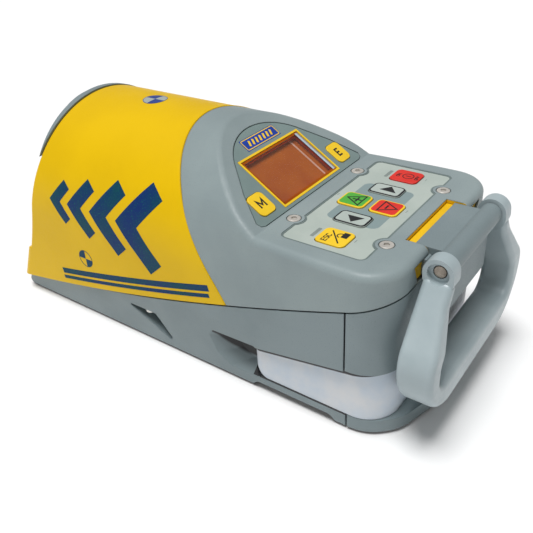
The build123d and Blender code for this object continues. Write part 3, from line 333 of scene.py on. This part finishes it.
# Finish of each slot, then of the inks: colours in sRGB bytes, scales per metre, bump and edge in mm
finishes = {
    "yellow_paint": {"colour": (229, 187, 3), "shade": (222, 180, 3), "patch": 16.0, "grain": 650.0,
                     "rough": (0.36, 0.48), "bump": 0.045, "edge": 0.7, "shine": 0.15},
    "grey_paint": {"colour": (130, 143, 146), "shade": (121, 134, 137), "patch": 22.0, "grain": 1500.0,
                   "rough": (0.40, 0.54), "bump": 0.035, "edge": 0.8, "shine": 0.35,
                   "speck": ((112, 125, 129), 1900.0, 0.36)},
    "grey_plastic": {"colour": (143, 156, 157), "shade": (134, 147, 149), "patch": 20.0, "grain": 1500.0,
                     "rough": (0.38, 0.50), "bump": 0.03, "edge": 0.8, "shine": 0.35,
                     "speck": ((126, 139, 142), 2100.0, 0.36)},
    "frame_yellow": {"colour": (238, 192, 16), "shade": (224, 178, 12), "patch": 40.0, "grain": 900.0,
                     "rough": (0.38, 0.52), "bump": 0.03, "edge": 0.4},
    "handle_grey": {"colour": (172, 185, 188), "shade": (158, 172, 176), "patch": 30.0, "grain": 420.0,
                    "rough": (0.30, 0.46), "bump": 0.05, "stretch": (1.0, 0.35, 1.0), "coat": 0.1},
    "grip_pale": {"colour": (213, 214, 215), "shade": (190, 202, 214), "patch": 34.0, "grain": 500.0,
                  "rough": (0.34, 0.5), "bump": 0.03, "edge": 0.6},
    "steel": {"colour": (214, 213, 210), "shade": (198, 197, 194), "patch": 160.0, "grain": 900.0,
              "rough": (0.26, 0.36), "bump": 0.003, "metal": 1.0},
    "dark_screw": {"colour": (60, 60, 62), "shade": (44, 44, 46), "patch": 200.0, "grain": 1400.0,
                   "rough": (0.3, 0.45), "bump": 0.01, "metal": 1.0},
    "brass": {"colour": (204, 164, 88), "shade": (178, 138, 68), "patch": 120.0, "grain": 1200.0,
              "rough": (0.24, 0.4), "bump": 0.012, "metal": 1.0, "edge": 0.3},
    "cell_sleeve": {"colour": (52, 84, 60), "shade": (44, 72, 52), "patch": 60.0, "grain": 800.0,
                    "rough": (0.32, 0.45), "bump": 0.02},
    "panel_film": {"colour": (178, 188, 181), "shade": (170, 181, 174), "patch": 45.0, "grain": 1800.0,
                   "rough": (0.36, 0.48), "bump": 0.012},
    "gasket": {"colour": (112, 126, 124), "shade": (102, 116, 114), "patch": 90.0, "grain": 1500.0,
               "rough": (0.55, 0.7), "bump": 0.02},
    "key_yellow": {"colour": (246, 205, 38), "shade": (240, 197, 32), "patch": 70.0, "grain": 1900.0,
                   "rough": (0.34, 0.46), "bump": 0.01},
    "key_red": {"colour": (220, 46, 34), "shade": (211, 40, 29), "patch": 70.0, "grain": 1900.0,
                "rough": (0.34, 0.46), "bump": 0.01},
    "key_green": {"colour": (84, 176, 62), "shade": (76, 165, 55), "patch": 70.0, "grain": 1900.0,
                  "rough": (0.34, 0.46), "bump": 0.01},
    "key_pale": {"colour": (180, 190, 184), "shade": (172, 182, 176), "patch": 60.0, "grain": 1900.0,
                 "rough": (0.36, 0.48), "bump": 0.012},
    "badge_blue": {"colour": (24, 66, 168), "shade": (18, 56, 150), "patch": 60.0, "grain": 1800.0,
                   "rough": (0.32, 0.44), "bump": 0.01},
    "screen_brown": {"colour": (166, 86, 16), "shade": (150, 68, 10), "patch": 30.0, "grain": 900.0,
                     "rough": (0.6, 0.75), "bump": 0.001, "stretch": (0.2, 1.0, 1.0), "shine": 0.1},
    "dark_window": {"colour": (22, 20, 24), "shade": (15, 13, 17), "patch": 50.0, "grain": 600.0,
                    "rough": (0.08, 0.16), "bump": 0.004, "coat": 0.5},
    "board": {"colour": (30, 92, 54), "shade": (24, 78, 44), "patch": 90.0, "grain": 900.0,
              "rough": (0.35, 0.5), "bump": 0.015, "speck": ((178, 150, 70), 700.0, 0.3)},
    "chip": {"colour": (36, 36, 38), "shade": (28, 28, 30), "patch": 120.0, "grain": 1600.0,
             "rough": (0.5, 0.65), "bump": 0.015},
    "bare_aluminium": {"colour": (184, 186, 188), "shade": (166, 168, 170), "patch": 60.0, "grain": 900.0,
                       "rough": (0.3, 0.44), "bump": 0.015, "metal": 1.0, "edge": 0.3},
    "black_anodised": {"colour": (34, 35, 38), "shade": (26, 27, 30), "patch": 60.0, "grain": 1300.0,
                       "rough": (0.36, 0.5), "bump": 0.012, "edge": 0.3},
    "ink": {"colour": (26, 27, 30), "shade": (18, 19, 22), "patch": 90.0, "grain": 1500.0,
            "rough": (0.4, 0.55), "bump": 0.01},
    "decal_film": {"colour": (12, 46, 104), "shade": (6, 66, 84), "patch": 40.0, "grain": 1300.0,
                   "rough": (0.45, 0.6), "bump": 0.01, "shine": 0.15,
                   "speck": ((12, 94, 80), 1500.0, 0.40)},
}
clearFinishes = {
    "clear_window": {"colour": (236, 232, 226), "patch": 60.0, "rough": (0.02, 0.06), "ior": 1.12},
    "display_pane": {"colour": (236, 232, 226), "patch": 60.0, "rough": (0.02, 0.06), "veil": 0.02},
}

# Key panel: the darker field round the arrow, plus and minus keys, as a rounded box in mm
pad = {"box": (0.0, -75.1, 22.3, 14.3, 4.0), "colour": (131, 149, 150)}


def padMask(tree, place):
    return boxMask(tree, place, *pad["box"])


# Lower housing, in mm: painted shade inside the battery bay and under the scoop's roof, painted contact
# shadow along the base
housing = {"foot": 58.5, "lean": 0.0875, "bend": 40.0, "skin": 0.45, "bayFront": -37.4, "bayLow": 9.0,
           "scoopFront": -9.0, "scoopRear": -31.0, "scoopLow": 16.5, "scoopRise": 0.12, "scoopBow": 0.0278,
           "scoopFade": (-1.2, 0.8), "strip": 1.7, "stripFade": 0.3, "under": 5.2, "underSkin": 1.0}


def wallDepth(tree, x, z):
    # depth under the side wall, which leans outward up to its bend
    rise = math(tree, "MULTIPLY", math(tree, "MINIMUM", z, housing["bend"]), housing["lean"])
    wall = math(tree, "ADD", rise, housing["foot"])
    return math(tree, "SUBTRACT", wall, math(tree, "ABSOLUTE", x))


def bayShadeMask(tree, place):
    # painted shade: inside the skin, and either behind the bay's front or above a parabola that rises
    # forward from the scoop's rear and ends at its front
    x, y, z = millimetres(tree, place)
    inside = math(tree, "GREATER_THAN", wallDepth(tree, x, z), housing["skin"])
    bay = math(tree, "MULTIPLY", math(tree, "LESS_THAN", y, housing["bayFront"]),
               math(tree, "GREATER_THAN", z, housing["bayLow"]))
    run = math(tree, "MAXIMUM", math(tree, "SUBTRACT", y, housing["scoopRear"]), 0.0)
    gain = math(tree, "ADD", math(tree, "MULTIPLY", run, housing["scoopBow"]), housing["scoopRise"])
    line = math(tree, "ADD", math(tree, "MULTIPLY", run, gain), housing["scoopLow"])
    roof = ramp(tree, math(tree, "SUBTRACT", z, line), *housing["scoopFade"])
    roof = math(tree, "MULTIPLY", roof, math(tree, "LESS_THAN", y, housing["scoopFront"]))
    return math(tree, "MULTIPLY", inside, math(tree, "MAXIMUM", bay, roof))


def edgeShadowMask(tree, place):
    # painted contact shadow on the lowest edge alone
    below = math(tree, "SUBTRACT", housing["strip"], millimetres(tree, place)[2])
    return ramp(tree, below, -housing["stripFade"], housing["stripFade"])


def baseShadowMask(tree, place):
    # painted contact shadow on the lowest edge, and painted shade on the set-back wall under the ledge
    x, _, z = millimetres(tree, place)
    back = math(tree, "GREATER_THAN", wallDepth(tree, x, z), housing["underSkin"])
    low = math(tree, "LESS_THAN", z, housing["under"])
    return math(tree, "MAXIMUM", edgeShadowMask(tree, place), math(tree, "MULTIPLY", back, low))


# Battery pack, in mm: painted shade along its upper edge under the bay's sloping top, z = top + climb (front
# - y)
packShade = {"front": -37.4, "top": 27.6, "climb": 0.17, "fade": 0.2, "band": 1.1}


def packShadeMask(tree, place):
    # painted shade: 1 above a line that lies one band below the edge seen
    _, y, z = millimetres(tree, place)
    rise = math(tree, "MULTIPLY", math(tree, "SUBTRACT", packShade["front"], y), packShade["climb"])
    line = math(tree, "ADD", rise, packShade["top"] - packShade["band"])
    return ramp(tree, math(tree, "SUBTRACT", z, line), -packShade["fade"], packShade["fade"])


# Rear cover, in mm: yellow walls of the notch that the hinge's tab fills
notch = {"box": (0.0, -111.2, 24.1, 6.0, 0.05), "middle": 93.3, "half": 3.3}


def notchMask(tree, place):
    # inside a box in plan, and between two heights
    off = math(tree, "ABSOLUTE", math(tree, "SUBTRACT", millimetres(tree, place)[2], notch["middle"]))
    between = math(tree, "LESS_THAN", off, notch["half"])
    return math(tree, "MULTIPLY", boxMask(tree, place, *notch["box"]), between)


# painted shade in the battery bay and under the scoop's roof
bayShadeMark = {"mask": bayShadeMask, "colour": (46, 47, 49)}
# painted contact shadow along the base and painted shade on the set-back wall; the same colour on the skid's
# lowest edge
baseShadowMark = {"mask": baseShadowMask, "colour": (84, 82, 82)}
edgeShadowMark = {"mask": edgeShadowMask, "colour": baseShadowMark["colour"]}
# painted shade along the pack's upper edge under the bay's top
packShadeMark = {"mask": packShadeMask, "colour": (40, 41, 44)}
notchMark = {"mask": notchMask, "colour": finishes["frame_yellow"]["colour"]}
padMark = {"mask": padMask, "colour": pad["colour"]}

# Finishes that start from a slot's own: the slot, what changes and the marks
variants = {
    # the pack's pale paint with painted shade along its upper edge
    "pack_paint_and_shade": ("grip_pale", {}, [packShadeMark]),
    "cover_plastic": ("grey_plastic", {}, [notchMark]),
    # the skid's grey paint with painted contact shadow on its lowest edge
    "skid_paint_and_shadow": ("grey_paint", {}, [edgeShadowMark]),
    # the housing's grey paint with painted shade in the bay and scoop and painted contact shadow along the
    # base
    "housing_paint_and_shade": ("grey_paint", {}, [bayShadeMark, baseShadowMark]),
    "panel_print": ("panel_film", {}, [padMark]),
    "screw_steel": ("steel", {"colour": (206, 202, 195), "shade": (188, 184, 177), "metal": 0.35,
                              "rough": (0.44, 0.56)}, []),
    "pin_steel": ("steel", {"colour": (146, 138, 128), "shade": (104, 97, 90), "rough": (0.2, 0.32)}, []),
    "reflector_film": ("panel_film", {"colour": (186, 200, 210), "shade": (174, 190, 202),
                                      "bump": 0.001}, []),
    "line_film": ("panel_film", {"colour": (205, 163, 146), "shade": (194, 148, 130)}, []),
    "bevel_film": ("panel_film", {"colour": (150, 138, 130), "shade": (140, 128, 120)}, []),
    # the well's lining: a lighter copy of the screen's brown, painted light that lifts the shade on its
    # walls
    "well_film_lit": ("screen_brown", {"colour": (206, 88, 44), "shade": (192, 76, 36)}, []),
    "overlay_film": ("panel_film", {"colour": (125, 143, 141), "shade": (117, 135, 133)}, []),
    "mark_pale": ("key_pale", {"colour": (170, 178, 172), "shade": (162, 170, 166)}, []),
    "mark_blue": ("badge_blue", {"colour": (34, 68, 150), "shade": (26, 56, 132)}, []),
    "slot_print": ("gasket", {"colour": (132, 142, 138), "shade": (124, 134, 130)}, []),
}
materials = {name: finish(name, s) for name, s in finishes.items()}
for name, s in clearFinishes.items():
    materials[name] = clearFinish(name, s)
for name, (base, changes, added) in variants.items():
    materials[name] = finish(name, dict(finishes[base], **changes), added)

# Solids that wear another finish than their slot's; the end cap wears the darker grey paint as painted shade
# on its rear faces
worn = {"lower_housing": "housing_paint_and_shade", "rear_skid": "skid_paint_and_shadow", "hinge_pin": "pin_steel",
        "deck_screws": "screw_steel", "end_cap": "grey_paint", "battery_pack": "pack_paint_and_shade",
        "rear_cover": "cover_plastic", "display_window": "display_pane", "key_panel": "panel_print",
        "display_overlay": "overlay_film", "key_plus": "key_yellow", "key_minus": "key_yellow"}
for row in frame["record"]["subparts"]:
    solid = nodes[row["node"]]
    solid.data.materials.clear()
    solid.data.materials.append(materials[worn.get(row["node"], row["material_slot"])])
print("finishes set:", len(bpy.data.materials))

# Side decal: chevrons (tip, half height, width) that point along the beam, and lines (rise, width) that
# follow the seam, which is an arc through three points of y and z
decal = {"chevrons": ((44.0, 23.0, 12.5), (67.0, 19.5, 10.5), (87.5, 15.5, 8.8), (104.5, 11.5, 7.0)),
         "level": 81.0, "lean": 0.88, "parts": 14, "across": 9, "lines": ((5.6, 2.4), (10.4, 3.8)),
         "lineEnds": (-14.0, 112.0), "lineSteps": 40, "top": 0.10, "bottom": -0.08}
seam = {"front": (152.0, 11.5), "mid": (40.0, 34.7), "rear": (-95.0, 75.0)}


def circleThrough(a, b, c):
    # centre from the two chords' right bisectors
    left = 2 * np.array([np.subtract(b, a), np.subtract(c, b)])
    right = np.array([np.dot(b, b) - np.dot(a, a), np.dot(c, c) - np.dot(b, b)])
    centre = np.linalg.solve(left, right)
    return centre, np.linalg.norm(np.subtract(a, centre))


seamCentre, seamRadius = circleThrough(seam["front"], seam["mid"], seam["rear"])


def seamHeight(y):
    return seamCentre[1] - np.sqrt(seamRadius ** 2 - (y - seamCentre[0]) ** 2)


shells = []
for side in (-1, 1):
    place = sidePlace(side)
    for tip, half, width in decal["chevrons"]:
        back = tip - half * decal["lean"]
        points = [(back, decal["level"] + half), (tip, decal["level"]), (back, decal["level"] - half)]
        band = strokeBand(points, width, parts=decal["parts"], across=decal["across"])
        shells.append(slab(place, band, decal["top"], decal["bottom"]))
    for rise, width in decal["lines"]:
        y = np.linspace(*decal["lineEnds"], decal["lineSteps"])
        points = np.stack([y, seamHeight(y) + rise], -1)
        shells.append(slab(place, strokeBand(points, width), decal["top"], decal["bottom"]))
makePiece("sideDecal", shells, "decal_film", "case")
print("decal made")

# Quartered marks over the beam's pivot: one on each side, and one on top, turned and with pale quarters.
# A spot gives the side, y, the way up the side, the turn in degrees and the radius
marks = {"spots": ((-1, 85.3, 46.1, 0, 5.8), (1, 85.3, 46.1, 0, 5.8), (1, 69.8, crown, 90, 7.4)),
         "ring": 0.35, "rings": 4, "top": 0.12, "ringTop": 0.15, "bottom": -0.08}
pale, blue, dark = [], [], []
for side, y, t, twist, r in marks["spots"]:
    place = sidePlace(side)
    inner = r - marks["ring"]
    inked = blue if twist else dark
    for turn in (twist, twist + 180):
        band = discBand(y, t, 0, inner, turn, turn + 90, marks["rings"])
        inked.append(slab(place, band, marks["top"], marks["bottom"]))
        if twist:
            band = discBand(y, t, 0, inner, turn - 90, turn, marks["rings"])
            pale.append(slab(place, band, marks["top"], marks["bottom"]))
    x, z = discBand(y, t, inner, r)
    inked.append(slab(place, (x.T[:-1], z.T[:-1]), marks["ringTop"], marks["bottom"], wrap=True))
makePiece("surveyMarkPale", pale, "mark_pale", "case")
makePiece("surveyMarkBlue", blue, "mark_blue", "case")
makePiece("surveyMarkSide", dark, "decal_film", "case")
print("survey marks made")

# Key faces and legends: centres of the keys, on the deck as x and y, beside the display as x and v; how high
# the keys stand, how thick ink and coloured faces are, how deep print is sunk; and letters as strokes
keys = {
    "key_escape": (-38.4, -76.4), "key_power": (38.4, -76.4), "key_left": (-18.2, -74.7),
    "key_right": (18.2, -74.7), "key_plus": (0.0, -65.7), "key_minus": (0.0, -83.9),
    "key_menu": (-37.5, 11.5), "key_enter": (37.5, 11.5),
}
legend = {"keyTop": 0.3, "ink": 0.06, "face": 0.10, "sunk": 0.06}
glyphs = {
    "E": [[(1, 1), (0, 1), (0, 0), (1, 0)], [(0, 0.5), (0.85, 0.5)]],
    "S": [[(1, 0.84), (0.8, 1), (0.2, 1), (0, 0.8), (0.1, 0.58),
           (0.9, 0.42), (1, 0.2), (0.8, 0), (0.2, 0), (0, 0.16)]],
    "C": [[(1, 0.8), (0.75, 1), (0.25, 1), (0, 0.75), (0, 0.25), (0.25, 0), (0.75, 0), (1, 0.2)]],
    "O": [[(0.25, 0), (0.75, 0), (1, 0.25), (1, 0.75), (0.75, 1), (0.25, 1), (0, 0.75), (0, 0.25)]],
    "N": [[(0, 0), (0, 1), (1, 0), (1, 1)]],
    "F": [[(0, 0), (0, 1), (1, 1)], [(0, 0.52), (0.85, 0.52)]],
    "M": [[(0, 0), (0, 1), (0.5, 0.35), (1, 1), (1, 0)]],
}


def inkSlab(place, band, base, wrap=False):
    return slab(place, band, base + legend["ink"], base - legend["sunk"], wrap)


def word(place, text, spot, size, gap, weight, base):
    # letters drawn as strokes in boxes of one size, centred on the spot
    width, height = size
    total = len(text) * width + (len(text) - 1) * gap
    made = []
    for k, letter in enumerate(text):
        corner = np.array([spot[0] - total / 2 + k * (width + gap), spot[1] - height / 2])
        for line in glyphs[letter]:
            points = corner + np.array(line, float) * size
            made.append(inkSlab(place, strokeBand(points, weight, letter == "O"), base, letter == "O"))
    return made


def ringSlab(place, x, y, width, height, corner, weight, base):
    return inkSlab(place, strokeBand(roundedPath(x, y, width, height, corner), weight, True), base, True)


# Plus and minus keys: a coloured plate, and on it a triangle and the sign's bars, measured from the centre
plate = {"size": (12.5, 13.3), "corner": 2.0, "triangleWeight": 0.75, "barWeight": 1.0}
signs = {
    "key_plus": {"slot": "key_green", "piece": "plusLegend",
                 "triangle": ((0.5, 4.5), (-5.2, -4.2), (5.4, -4.2)),
                 "bars": (((-2.3, -1.2), (2.7, -1.2)), ((0.2, -3.6), (0.2, -1.71)),
                          ((0.2, -0.69), (0.2, 1.4)))},
    "key_minus": {"slot": "key_red", "piece": "minusLegend",
                  "triangle": ((0.3, -5.2), (5.4, 3.2), (-5.2, 3.2)),
                  "bars": (((-1.9, 0.2), (2.1, 0.2)),)},
}
faceTop = legend["keyTop"] + legend["face"]
for name, s in signs.items():
    centre = np.array(keys[name])
    made = slab(deckPlace, boxBand(*centre, *plate["size"], plate["corner"]), faceTop,
                legend["keyTop"] - legend["sunk"])
    makePiece(name + "Face", [made], s["slot"], name)
for name, s in signs.items():
    centre = np.array(keys[name])
    triangle = strokeBand(centre + s["triangle"], plate["triangleWeight"], True)
    made = [inkSlab(deckPlace, triangle, faceTop, True)]
    for bar in s["bars"]:
        made.append(inkSlab(deckPlace, strokeBand(centre + bar, plate["barWeight"]), faceTop))
    makePiece(s["piece"], made, "ink", name)

# Arrow keys: a solid arrow, and a dark rim as a ring on the flat top and a mask on the rounded edge
arrows = {"key_left": ((2.0, 3.9), (2.2, -5.2), (-3.8, -0.7)),
          "key_right": ((-1.4, 3.8), (-1.9, -5.8), (4.3, -0.7))}
keyRim = {"ring": (10.55, 16.35, 2.28), "weight": 0.65, "half": (5.5, 8.4), "corner": 2.5, "drop": 0.15}


def rimMask(x, y):
    # 1 outside the rounded box of the pale top, down to a little below it
    def mask(tree, place):
        inside = boxMask(tree, place, x, y, *keyRim["half"], keyRim["corner"])
        edgeLow = deckHeight + legend["keyTop"] - keyRim["drop"]
        high = math(tree, "GREATER_THAN", millimetres(tree, place)[2], edgeLow)
        return math(tree, "MULTIPLY", math(tree, "SUBTRACT", 1.0, inside), high)
    return mask


for name, corners in arrows.items():
    x, y = keys[name]
    rimMark = {"mask": rimMask(x, y), "colour": finishes["ink"]["colour"]}
    nodes[name].data.materials[0] = finish(name + "_film", finishes["key_pale"], [rimMark])
    made = [inkSlab(deckPlace, triangleBand(*[(x + a, y + b) for a, b in corners]), legend["keyTop"])]
    made.append(ringSlab(deckPlace, x, y, *keyRim["ring"], keyRim["weight"], legend["keyTop"]))
    makePiece(name + "Legend", made, "ink", name)

# Escape key: the word, a slanting stroke, and a padlock as a box with an open bow
escape = {"wordSpot": (-2.2, 3.4), "letter": (1.7, 2.6), "gap": 0.6, "wordWeight": 0.5,
          "stroke": ((-4.7, -4.2), (4.8, 3.8)), "strokeWeight": 0.7,
          "lockSpot": (3.1, -4.0), "lock": (4.8, 3.3, 0.3),
          "bowSpot": (2.1, -1.9), "bowRadius": 1.7, "bowSteps": 13, "bowLeg": (3.8, -2.4), "bowWeight": 0.6}
centre = np.array(keys["key_escape"])
made = word(deckPlace, "ESC", centre + escape["wordSpot"], escape["letter"], escape["gap"],
            escape["wordWeight"], legend["keyTop"])
turn = np.radians(np.linspace(0, 180, escape["bowSteps"]))
bow = arcPath(*(centre + escape["bowSpot"]), escape["bowRadius"], turn)
bow = np.concatenate([[centre + escape["bowLeg"]], bow])
for band in (strokeBand(centre + escape["stroke"], escape["strokeWeight"]),
             boxBand(*(centre + escape["lockSpot"]), *escape["lock"]),
             strokeBand(bow, escape["bowWeight"])):
    made.append(inkSlab(deckPlace, band, legend["keyTop"]))
makePiece("escapeLegend", made, "ink", "key_escape")

# Power key: a ring with a stroke in it, and a word above and below
power = {"ringSpot": (0.1, -0.9), "radius": 3.0, "steps": 36, "ringWeight": 0.5,
         "stroke": ((0.1, -2.4), (0.1, 0.6)), "strokeWeight": 0.6, "wordWeight": 0.4,
         "words": (("ON", (-0.5, 4.6), (1.4, 1.7), 0.6), ("OFF", (0.0, -6.1), (1.3, 1.7), 0.5))}
centre = np.array(keys["key_power"])
turn = np.radians(np.linspace(0, 360, power["steps"], endpoint=False))
circle = arcPath(*(centre + power["ringSpot"]), power["radius"], turn)
made = [inkSlab(deckPlace, strokeBand(circle, power["ringWeight"], True), legend["keyTop"], True),
        inkSlab(deckPlace, strokeBand(centre + power["stroke"], power["strokeWeight"]), legend["keyTop"])]
for text, spot, size, gap in power["words"]:
    made += word(deckPlace, text, centre + spot, size, gap, power["wordWeight"], legend["keyTop"])
makePiece("powerLegend", made, "ink", "key_power")

# Keys beside the display: one letter each, with its size
letters = {"weight": 1.0, "signs": (("key_menu", "M", (4.2, 4.6)), ("key_enter", "E", (2.9, 4.6)))}
for name, letter, size in letters["signs"]:
    made = word(slopePlace, letter, keys[name], size, 0, letters["weight"], legend["keyTop"])
    makePiece(name + "Legend", made, "ink", name)

# Marks printed on the key film: two short bars and hair ticks
film = {"top": -0.4, "bars": ((-38.0, -65.8), (38.0, -65.8)), "bar": (8.8, 1.9, 0.4),
        "ticks": ((2.3, -54.6), (1.8, -93.7), (40.0, -86.9), (-36.2, -86.2)), "tick": (2.6, 0.3, 0.1)}
made = [inkSlab(deckPlace, boxBand(x, y, *film["bar"]), film["top"]) for x, y in film["bars"]]
made += [inkSlab(deckPlace, boxBand(x, y, *film["tick"]), film["top"]) for x, y in film["ticks"]]
makePiece("filmMarks", made, "slot_print", "case")
print("keys and legends made")

# Badge above the display: thin outline and a row of leaning bars
badge = {"v": 43.1, "top": -0.1, "ring": (28.4, 6.4, 0.8), "ringWeight": 0.5,
         "bars": 7, "first": -9.6, "step": 3.2, "lean": 0.8, "reach": 1.7, "barWeight": 1.3}
made = [ringSlab(slopePlace, 0.0, badge["v"], *badge["ring"], badge["ringWeight"], badge["top"])]
for k in range(badge["bars"]):
    x = badge["first"] + badge["step"] * k
    foot = (x - badge["lean"], badge["v"] - badge["reach"])
    head = (x + badge["lean"], badge["v"] + badge["reach"])
    made.append(inkSlab(slopePlace, strokeBand([foot, head], badge["barWeight"]), badge["top"]))
makePiece("badgeBars", made, "key_yellow", "case")

# Display: strips along the pane's right edge, the first a dark line of painted shade, the lining of its
# well, lighter than the screen as painted light, a border under the pane and a pale line on the screen;
# heights are measured from the slope
display = {"strips": (("screenShadeLine", 22.95, 0.45, "ink", "chip"),
                      ("screenReflector", 24.0, 1.65, "reflector_film", "panel_film"),
                      ("screenBevel", 25.35, 0.95, "bevel_film", "panel_film")),
           "stripEnds": (5.0, 35.0), "paneTop": -0.42, "paneSunk": -0.52, "middle": 20.0,
           "well": (49.0, 28.8, 0.3), "wellSkin": 0.34, "wellTop": -1.56, "wellFoot": -3.78,
           "border": (50.3, 30.1, 0.2), "borderBand": 1.3, "borderTop": -0.46, "borderFoot": -0.56,
           "lineX": 19.6, "lineEnds": (6.2, 33.8), "lineWidth": 1.3, "lineTop": -3.72, "lineFoot": -3.86}
for name, x, width, material, slot in display["strips"]:
    strip = strokeBand([(x, v) for v in display["stripEnds"]], width)
    made = slab(slopePlace, strip, display["paneTop"], display["paneSunk"])
    makePiece(name, [made], material, "case")
# lining of the well in its lighter film, as painted light on walls in shade
well = strokeBand(roundedPath(0, display["middle"], *display["well"]), display["wellSkin"], True)
made = slab(slopePlace, well, display["wellTop"], display["wellFoot"], True)
makePiece("screenWell", [made], "well_film_lit", "case")
border = strokeBand(roundedPath(0, display["middle"], *display["border"]), display["borderBand"], True)
made = slab(slopePlace, border, display["borderTop"], display["borderFoot"], True)
makePiece("screenBorder", [made], "screen_brown", "case")
line = strokeBand([(display["lineX"], v) for v in display["lineEnds"]], display["lineWidth"])
made = slab(slopePlace, line, display["lineTop"], display["lineFoot"])
makePiece("screenLine", [made], "line_film", "case")
print("display details made")

# Rolled rim of the yellow cover: a thin bead along its rear edge, which is an arc seen from the side
rim = {"footY": -25.0, "footRise": 0.75, "mid": (0.4, 92.9), "crown": (27.0, 129.8), "shift": 0.4,
       "sunk": -0.12, "short": 0.01, "steps": 90, "radius": 0.42, "sides": 10}
rimFoot = seamHeight(rim["footY"]) + rim["footRise"]
rimCentre, rimRadius = circleThrough((rim["footY"], rimFoot), rim["mid"], rim["crown"])
t = np.linspace(rimFoot, crown - rim["short"], rim["steps"])
points = sidePlace(-1)(0 * t, t, rim["sunk"])
lean = np.sign(rim["mid"][0] - rimCentre[0])
bulge = np.sqrt(rimRadius ** 2 - (points[:, 2] - rimCentre[1]) ** 2)
points[:, 1] = rimCentre[0] + lean * bulge + rim["shift"]
path = np.concatenate([points, points[::-1] * (-1, 1, 1)])
makePiece("rimBead", [tube(path, rim["radius"], rim["sides"])], "yellow_paint", "case")
print("rim made")

# Floor, light and camera
floorSet = {"half": 3.0, "level": -0.0002,
            "finish": {"colour": (247, 247, 247), "shade": (245, 245, 245), "patch": 6.0, "grain": 300.0,
                       "rough": (0.85, 0.95), "bump": 0.01, "shine": 0.1}}
floorMesh = bpy.data.meshes.new("floor")
corners = [(x * floorSet["half"], y * floorSet["half"], floorSet["level"])
           for x, y in ((-1, -1), (1, -1), (1, 1), (-1, 1))]
floorMesh.from_pydata(corners, [], [(0, 1, 2, 3)])
floor = bpy.data.objects.new("floor", floorMesh)
scene.collection.objects.link(floor)
floorMesh.materials.append(finish("floor", floorSet["finish"]))

# The world gives soft light, a little more in mirrors, and white where it is seen
studio = {"colour": (1, 1, 1, 1), "strengths": {"soft": 0.20, "mirror": 0.30, "white": 1.0}}
world = bpy.data.worlds.new("studio")
scene.world = world
world.use_nodes = True
tree = world.node_tree
tree.nodes.clear()
rays = wire(tree, "LightPath")
seen = math(tree, "MAXIMUM", rays.outputs["Is Camera Ray"], rays.outputs["Is Transmission Ray"])
glossy = rays.outputs["Is Glossy Ray"]
glow = {}
for kind, strength in studio["strengths"].items():
    glow[kind] = wire(tree, "Background", {"Color": studio["colour"], "Strength": strength}).outputs[0]
lit = wire(tree, "MixShader", {0: glossy, 1: glow["soft"], 2: glow["mirror"]}).outputs[0]
shown = wire(tree, "MixShader", {0: seen, 1: lit, 2: glow["white"]}).outputs[0]
tree.links.new(shown, wire(tree, "OutputWorld").inputs["Surface"])

lights = {
    "keyLight": {"from": (-0.20, 0.05, 1.0), "strength": 2.9, "spread": 26.0},
    "sideLight": {"from": (-1.0, 0.15, 0.6), "strength": 0.15, "spread": 45.0},
    "rearLight": {"from": (0.1, -1.0, 0.7), "strength": 0.05, "spread": 45.0},
}
for name, s in lights.items():
    lamp = bpy.data.lights.new(name, "SUN")
    lamp.energy = s["strength"]
    lamp.angle = np.radians(s["spread"])
    holder = bpy.data.objects.new(name, lamp)
    holder.matrix_world = Vector(s["from"]).to_track_quat("Z", "Y").to_matrix().to_4x4()
    scene.collection.objects.link(holder)

scene.view_settings.view_transform = "Standard"

# The photograph's view: angles in degrees, place, lens and sensor in mm, nearest point drawn in metres
photoView = {"azimuth": -52.6, "elevation": 32.43, "roll": 3.43, "place": (-267.2, -210.1, 250.2),
             "lens": 43.98, "sensor": 36, "nearest": 0.01}


def addCamera(view):
    # back = (sin a cos e, -cos a cos e, sin e); right and down turn by the roll about it
    a, e, r = np.radians([view["azimuth"], view["elevation"], view["roll"]])
    back = np.array([np.sin(a) * np.cos(e), -np.cos(a) * np.cos(e), np.sin(e)])
    right = np.cross(-back, [0, 0, 1])
    right /= np.linalg.norm(right)
    down = np.cross(-back, right)
    across = np.cos(r) * right + np.sin(r) * down
    upward = np.sin(r) * right - np.cos(r) * down
    pose = np.eye(4)
    pose[:3] = np.stack([across, upward, back, np.array(view["place"]) * mm], 1)
    data = bpy.data.cameras.new("photoCamera")
    data.sensor_width = view["sensor"]
    data.lens = view["lens"]
    data.clip_start = view["nearest"]
    camera = bpy.data.objects.new("photoCamera", data)
    camera.matrix_world = Matrix(pose.tolist())
    scene.collection.objects.link(camera)
    scene.camera = camera


addCamera(photoView)
print("stage set")
